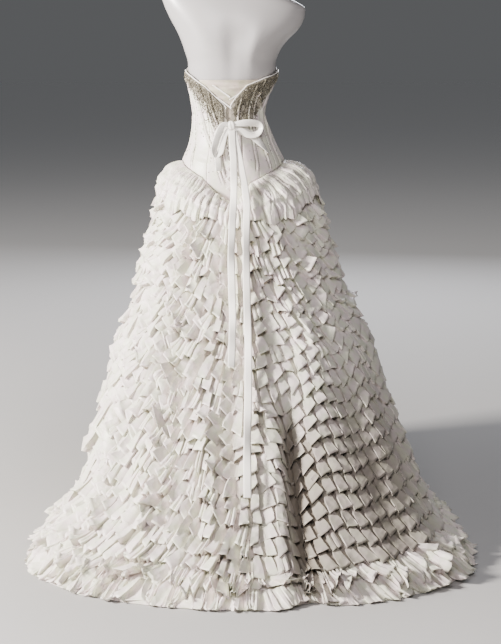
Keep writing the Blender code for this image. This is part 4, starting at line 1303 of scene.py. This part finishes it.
# Under the hip seam a deep gathered flounce puffs out over the hips.  Its folds fan out from the
# seam, soft on the left and deeper on the right, and its edge falls over the first frill.
FLOUNCE_PROFILE = ((0.00, 0.0005), (0.22, 0.0190), (0.50, 0.0270), (0.78, 0.0205), (1.00, 0.0125))
FLOUNCE_COLUMNS, FLOUNCE_ROWS = 740, 34
# bands pressed into flat pleats over its lower half: start and end down it, mean pleat width, depth
PRESSED_BANDS = ((0.46, 0.74, 0.028, 0.0100), (0.74, 1.01, 0.031, 0.0120))
# gathers of three sizes: mean width, depth on the left, depth on the right, how far down they run
GATHERS = (
    (0.0090, 0.0022, 0.0024, 0.60), (0.0180, 0.0052, 0.0058, 1.30), (0.0420, 0.0030, 0.0095, 3.0),
)
FLUTES = (0.023, 0.014, 0.017, 90)       # the same for the flutes of its edge


def uneven(count, spread, length, chance):
    """The widths of folds that fill a length, and where they start."""
    widths = np.exp(chance.normal(0, spread, count))
    widths *= length / widths.sum()
    return widths, np.concatenate(([0], np.cumsum(widths)))


def in_fold(place, widths, starts):
    """Which fold a place is in, and how far across it."""
    fold = np.clip(np.searchsorted(starts, place, side="right") - 1, 0, len(widths) - 1)
    return fold, (place - starts[fold]) / widths[fold]


def gathered(along, down, length, rightness, mean, left_depth, right_depth, run, chance):
    """One size of gathers: crowned between sharp valleys, closed at the seam and fading below."""
    count = int(length / mean)
    widths, starts = uneven(count, 0.45, length, chance)
    strength = chance.uniform(0.35, 1.3, count)
    runs = run * chance.uniform(0.5, 1.5, count)
    place = along % length
    fold, share = in_fold(place, widths, starts)
    crown = 1 - np.abs(2 * share - 1) ** 1.7
    depth = (left_depth + (right_depth - left_depth) * rightness) * strength[fold]
    return depth * (crown - 0.6) * smooth_step(0, 0.10, down) * np.exp(-((down / runs[fold]) ** 2))


def pressed(along, down, length, start, end, mean, depth, rightness, chance):
    """A band of pressed pleats that stands out toward its lower edge and steps back below it."""
    count = int(length / mean)
    widths, starts = uneven(count, 0.28, length, chance)
    share_down = np.clip((down - start) / (end - start), 0, 1)
    place = (along - (0.008 - 0.020 * rightness) * share_down) % length
    fold, share = in_fold(place, widths, starts)
    yaw = chance.normal(0, 0.5, count)[fold] * (share - 0.5)
    face = smooth_step(0.02, 0.16, share) * smooth_step(0.98, 0.84, share) * (1 + yaw)
    own_end = end + chance.uniform(-0.05, 0.04, count)[fold]
    within = (down >= start) * smooth_step(own_end + 0.012, own_end - 0.012, down)
    return depth * chance.uniform(0.6, 1.2, count)[fold] * (face - 0.35) * share_down**0.6 * within


chance = np.random.default_rng(41)
ring_turns = np.linspace(0, 360, 721)
ring = foundation(ring_turns, np.full(721, -0.4))
ring_lengths = lengths_along(ring)
down = np.linspace(0, 1, FLOUNCE_ROWS)[None, :] + np.zeros((FLOUNCE_COLUMNS, 1))
along = np.linspace(0, ring_lengths[-1], FLOUNCE_COLUMNS + 1)[:-1, None] + 0 * down
fold_angle = np.interp(along, ring_lengths, ring_turns)
rightness = bell(turn_between(fold_angle, 312), 48)
fanned = (
    0.018 * bell(turn_between(fold_angle, 30), 22) + 0.014 * bell(turn_between(fold_angle, 352), 9)
    - 0.028 * bell(turn_between(fold_angle, 312), 20)
)
swayed = (
    along - fanned * down + 0.006 * drift(fold_angle, 1.3 * down, 31) * down
    + 0.006 * rightness * np.sin(4 * down)
)
folds = sum(gathered(swayed, down, ring_lengths[-1], rightness, *kind, chance) for kind in GATHERS)
fluted = gathered(
    swayed + 0.004, 0.3 + 0 * down, ring_lengths[-1], rightness, *FLUTES, chance
)
lip = smooth_step(0.50, 0.95, down)
below_seam = smooth_step(0, 0.3, down)
profile = np.interp(down, *zip(*FLOUNCE_PROFILE))
profile = profile + 0.0018 * drift(fold_angle, 3 * down, 58) * below_seam
beside_ribbons = 1 - 0.65 * bell(turn_between(fold_angle, 354), 9)
bands = beside_ribbons * sum(
    pressed(along, down, ring_lengths[-1], *band, rightness, chance) for band in PRESSED_BANDS
)
folds = folds * (1 - 0.55 * lip)
fold_stand = profile + folds + bands + 0.35 * fluted * lip + 0.003 * lip
fold_stand = fold_stand + chance.normal(0, 0.0004, down.shape) * below_seam
edge_slant = row_slant(fold_angle, FRILL_OVERLAP * ROW_PITCH) + ROW_PITCH * (
    0.35 * drift(fold_angle, 0 * fold_angle, 9) + 16 * fluted
)
flounce_slant = -0.999 + (0.999 + edge_slant) * down
flounce_points = off_skirt(fold_angle, flounce_slant, np.maximum(fold_stand, 0.0006))
# painted shade in the valleys of the gathers and pressed pleats
flounce_painted_shade = np.clip(-(folds + 1.3 * bands) / 0.0055 - 0.06, 0, 0.75)
cloth("hip_flounce_silk", flounce_points, frill_silk, 0.0007, ["hip_flounce"],
      closed=True,
      recess=flounce_painted_shade)


# The bow is tied in 20 mm double-faced satin ribbon at the top of the lacing: a knot, two drooping
# loops, two short square ends, and two long ends that trail down over the skirt.
RIBBON_WIDTH = 0.021
KNOT_X, KNOT_HEIGHT = 0.000, 1.128
# x, height, stand off the bodice, twist in degrees
BOW_PIECES = {
    "bow_loop_right": (
        (-0.004, 1.131, 0.0125, 0), (-0.030, 1.133, 0.0170, -18), (-0.053, 1.132, 0.0200, -34),
        (-0.070, 1.126, 0.0205, -52), (-0.076, 1.113, 0.0175, -70), (-0.070, 1.101, 0.0135, -36),
        (-0.053, 1.099, 0.0100, -4), (-0.031, 1.109, 0.0080, 10), (-0.004, 1.120, 0.0080, 0),
    ),
    "bow_loop_left": (
        (0.004, 1.131, 0.0125, 0), (0.022, 1.129, 0.0170, 15), (0.034, 1.103, 0.0200, 30),
        (0.043, 1.071, 0.0205, 36), (0.047, 1.046, 0.0180, 50), (0.042, 1.033, 0.0150, 50),
        (0.034, 1.043, 0.0120, 20), (0.027, 1.070, 0.0110, 5), (0.020, 1.097, 0.0100, 0),
        (0.006, 1.119, 0.0090, 0),
    ),
    "bow_end_right": (
        (-0.004, 1.124, 0.0050, 0), (-0.040, 1.112, 0.0046, 12), (-0.068, 1.090, 0.0052, -16),
        (-0.090, 1.066, 0.0070, 14), (-0.106, 1.043, 0.0090, 40),
    ),
    "bow_end_left": (
        (0.004, 1.123, 0.0050, 0), (0.034, 1.114, 0.0045, 5), (0.043, 1.080, 0.0042, -14),
        (0.041, 1.045, 0.0060, 12), (0.035, 0.996, 0.0140, 32),
    ),
}
for name, places in BOW_PIECES.items():
    places = through(places, 70)
    turns = beside_body(places[:, 0], places[:, 1])
    faces = normal_to(body, turns, places[:, 1])
    middle = body(turns, places[:, 1]) + faces * places[:, 2:3]
    length = float(steps_along(middle).sum())
    narrow = RIBBON_WIDTH * (0.55 + 0.45 * np.clip(np.linspace(0, 6, 70), 0, 1))
    if "loop" in name:
        narrow = narrow * (0.55 + 0.45 * np.clip(np.linspace(6, 0, 70), 0, 1))
    grid = ribbon_grid(middle, faces, narrow[:, None], twist=places[:, 3], cup=0.0006)
    ribbon(name + "_ribbon", grid, nodes=[name])

knot_turns = np.radians(np.linspace(0, 360, 33))[:-1, None]
knot_across = np.linspace(-1, 1, 13)[None, :]
knot_angle = beside_body(KNOT_X, KNOT_HEIGHT)
knot_face = normal_to(body, knot_angle, np.array(KNOT_HEIGHT))
knot_middle = body(knot_angle, KNOT_HEIGHT) + knot_face * 0.0095
bulge = (1 - 0.35 * knot_across**4) * (
    1 + 0.07 * np.sin(3 * knot_turns + 2.4 * knot_across)
    + 0.05 * np.cos(7 * knot_across + 2 * knot_turns)
)
knot_points = (
    knot_middle
    + np.array((1.0, 0, 0.12)) * (knot_across * 0.0105 + 0 * knot_turns)[..., None]
    + np.array((0, 0, 1.0)) * (0.0125 * bulge * np.cos(knot_turns))[..., None]
    + knot_face * (0.0075 * bulge * np.sin(knot_turns))[..., None]
)
knot = grid_mesh("bow_knot_ribbon", knot_points, ribbon_satin, closed=True, capped=True, crisp=60)
finished(knot, "SUBSURF", levels=1, render_levels=1)
shown(knot, "satin_ribbon", "bow_knot")

# line down the back as heights and places to the left, extra stand, seed of its waver
LONG_ENDS = {
    "ribbon_end_left": (
        ((0.494, -0.0040), (0.76, -0.0030), (1.030, -0.0060), (1.116, -0.0010)), 0.0022, 1),
    "ribbon_end_right": (
        ((0.213, -0.0500), (0.60, -0.0470), (0.925, -0.0450), (1.030, -0.0230),
         (1.116, -0.0050)), 0.0, 2),
}
# height, distance behind the stand's axis: clear of the cloth below, by 8 to 57 mm
LONG_END_LINE = (
    (0.21, 0.840), (0.26, 0.778), (0.32, 0.709), (0.38, 0.640), (0.44, 0.582), (0.53, 0.503),
    (0.62, 0.427), (0.65, 0.403), (0.74, 0.334), (0.80, 0.304), (0.83, 0.287), (0.88, 0.241),
    (0.92, 0.212), (0.98, 0.180), (1.04, 0.1440), (1.08, 0.1190), (1.116, 0.0985),
)
for name, (path, extra, seed) in LONG_ENDS.items():
    levels = 1.1155 + (path[0][0] - 1.1155) * np.linspace(0, 1, 23)
    behind = np.interp(levels, *zip(*LONG_END_LINE)) + extra
    middle = through(np.stack((np.interp(levels, *zip(*path)), behind, levels), axis=-1), 190)
    wander = np.linspace(0, 1, 190)
    off_knot = np.minimum(wander * 5, 1)
    middle[:, 0] += 0.0022 * np.sin(11 * wander + seed * 2) * off_knot
    middle[:, 1] += 0.0018 * np.sin(31 * wander + seed) * off_knot
    twist = (14 * np.sin(13 * wander + 1.5 * seed) + 10 * np.sin(37 * wander + seed)) * off_knot
    upright = np.tile((0.0, 1.0, 0.25), (190, 1))
    length = float(steps_along(middle).sum())
    ribbon(name + "_ribbon", ribbon_grid(middle, upright, RIBBON_WIDTH, twist=twist, cup=0.0005),
           nodes=[name])


# The studio: a pale plain floor under soft lamps, the key lamp high at the wearer's left.
def studio_floor():
    """Matt pale vinyl floor, faintly mottled, with light painted on it: it turns near white away
    from the dress, where the lamps' light falls off.
    """
    material, shader, place = new_finish("matt_vinyl_floor", IOR=1.45, Roughness=0.75)
    cloud = noise(material, place, 1.5, 4.0)
    tint = mixed(material, (cloud, "Fac"), "#8C8A87", "#94928E")
    nearness = add_node(material, "ShaderNodeMapping", inputs={
        "Vector": (place, "Object"), "Scale": (0.1, 0.1, 0.1)})
    middle = add_node(material, "ShaderNodeTexGradient", {"gradient_type": "QUADRATIC_SPHERE"}, {
        "Vector": (nearness, "Vector")})
    # painted light: near white beyond about 10 m from the middle
    painted_far_light = mixed(material, (middle, "Fac"), "#FEFEFE", (tint, "Result"))
    return dressed(material, shader, tint=painted_far_light)


bpy.ops.object.select_all(action="DESELECT")
bpy.ops.mesh.primitive_circle_add(
    vertices=96, radius=60, fill_type="NGON", location=(0, 0, -0.0005)
)
floor = bpy.context.object
floor.name = "studio_floor"
floor.data.materials.append(studio_floor())

# name, place, what it points at, side, watts, colour
LAMPS = (
    ("key_lamp", (4.15, 2.0, 2.5), (0.0, 0.3, 0.75), 0.9, 1080, "#FFF9F4"),
    ("fill_lamp", (0.4, 3.6, 2.8), (-0.05, 0.2, 0.85), 1.4, 78, "#FBF4F6"),
    ("front_lamp", (-0.8, -4.2, 2.8), (0.0, 0.0, 0.9), 1.6, 100, "#F4F6FF"),
)
for name, place, target, side, watts, colour in LAMPS:
    lamp = bpy.data.lights.new(name, "AREA")
    lamp.shape = "SQUARE"
    lamp.size = side
    lamp.energy = watts
    lamp.color = linear(colour)[:3]
    item = bpy.data.objects.new(name, lamp)
    item.location = place
    item.rotation_euler = (Vector(target) - Vector(place)).to_track_quat("-Z", "Y").to_euler()
    bpy.context.scene.collection.objects.link(item)

surroundings = bpy.data.worlds.new("studio")
surroundings.use_nodes = True
surroundings.node_tree.nodes["Background"].inputs["Color"].default_value = linear("#A9ABAE")
surroundings.node_tree.nodes["Background"].inputs["Strength"].default_value = 0.26
bpy.context.scene.world = surroundings
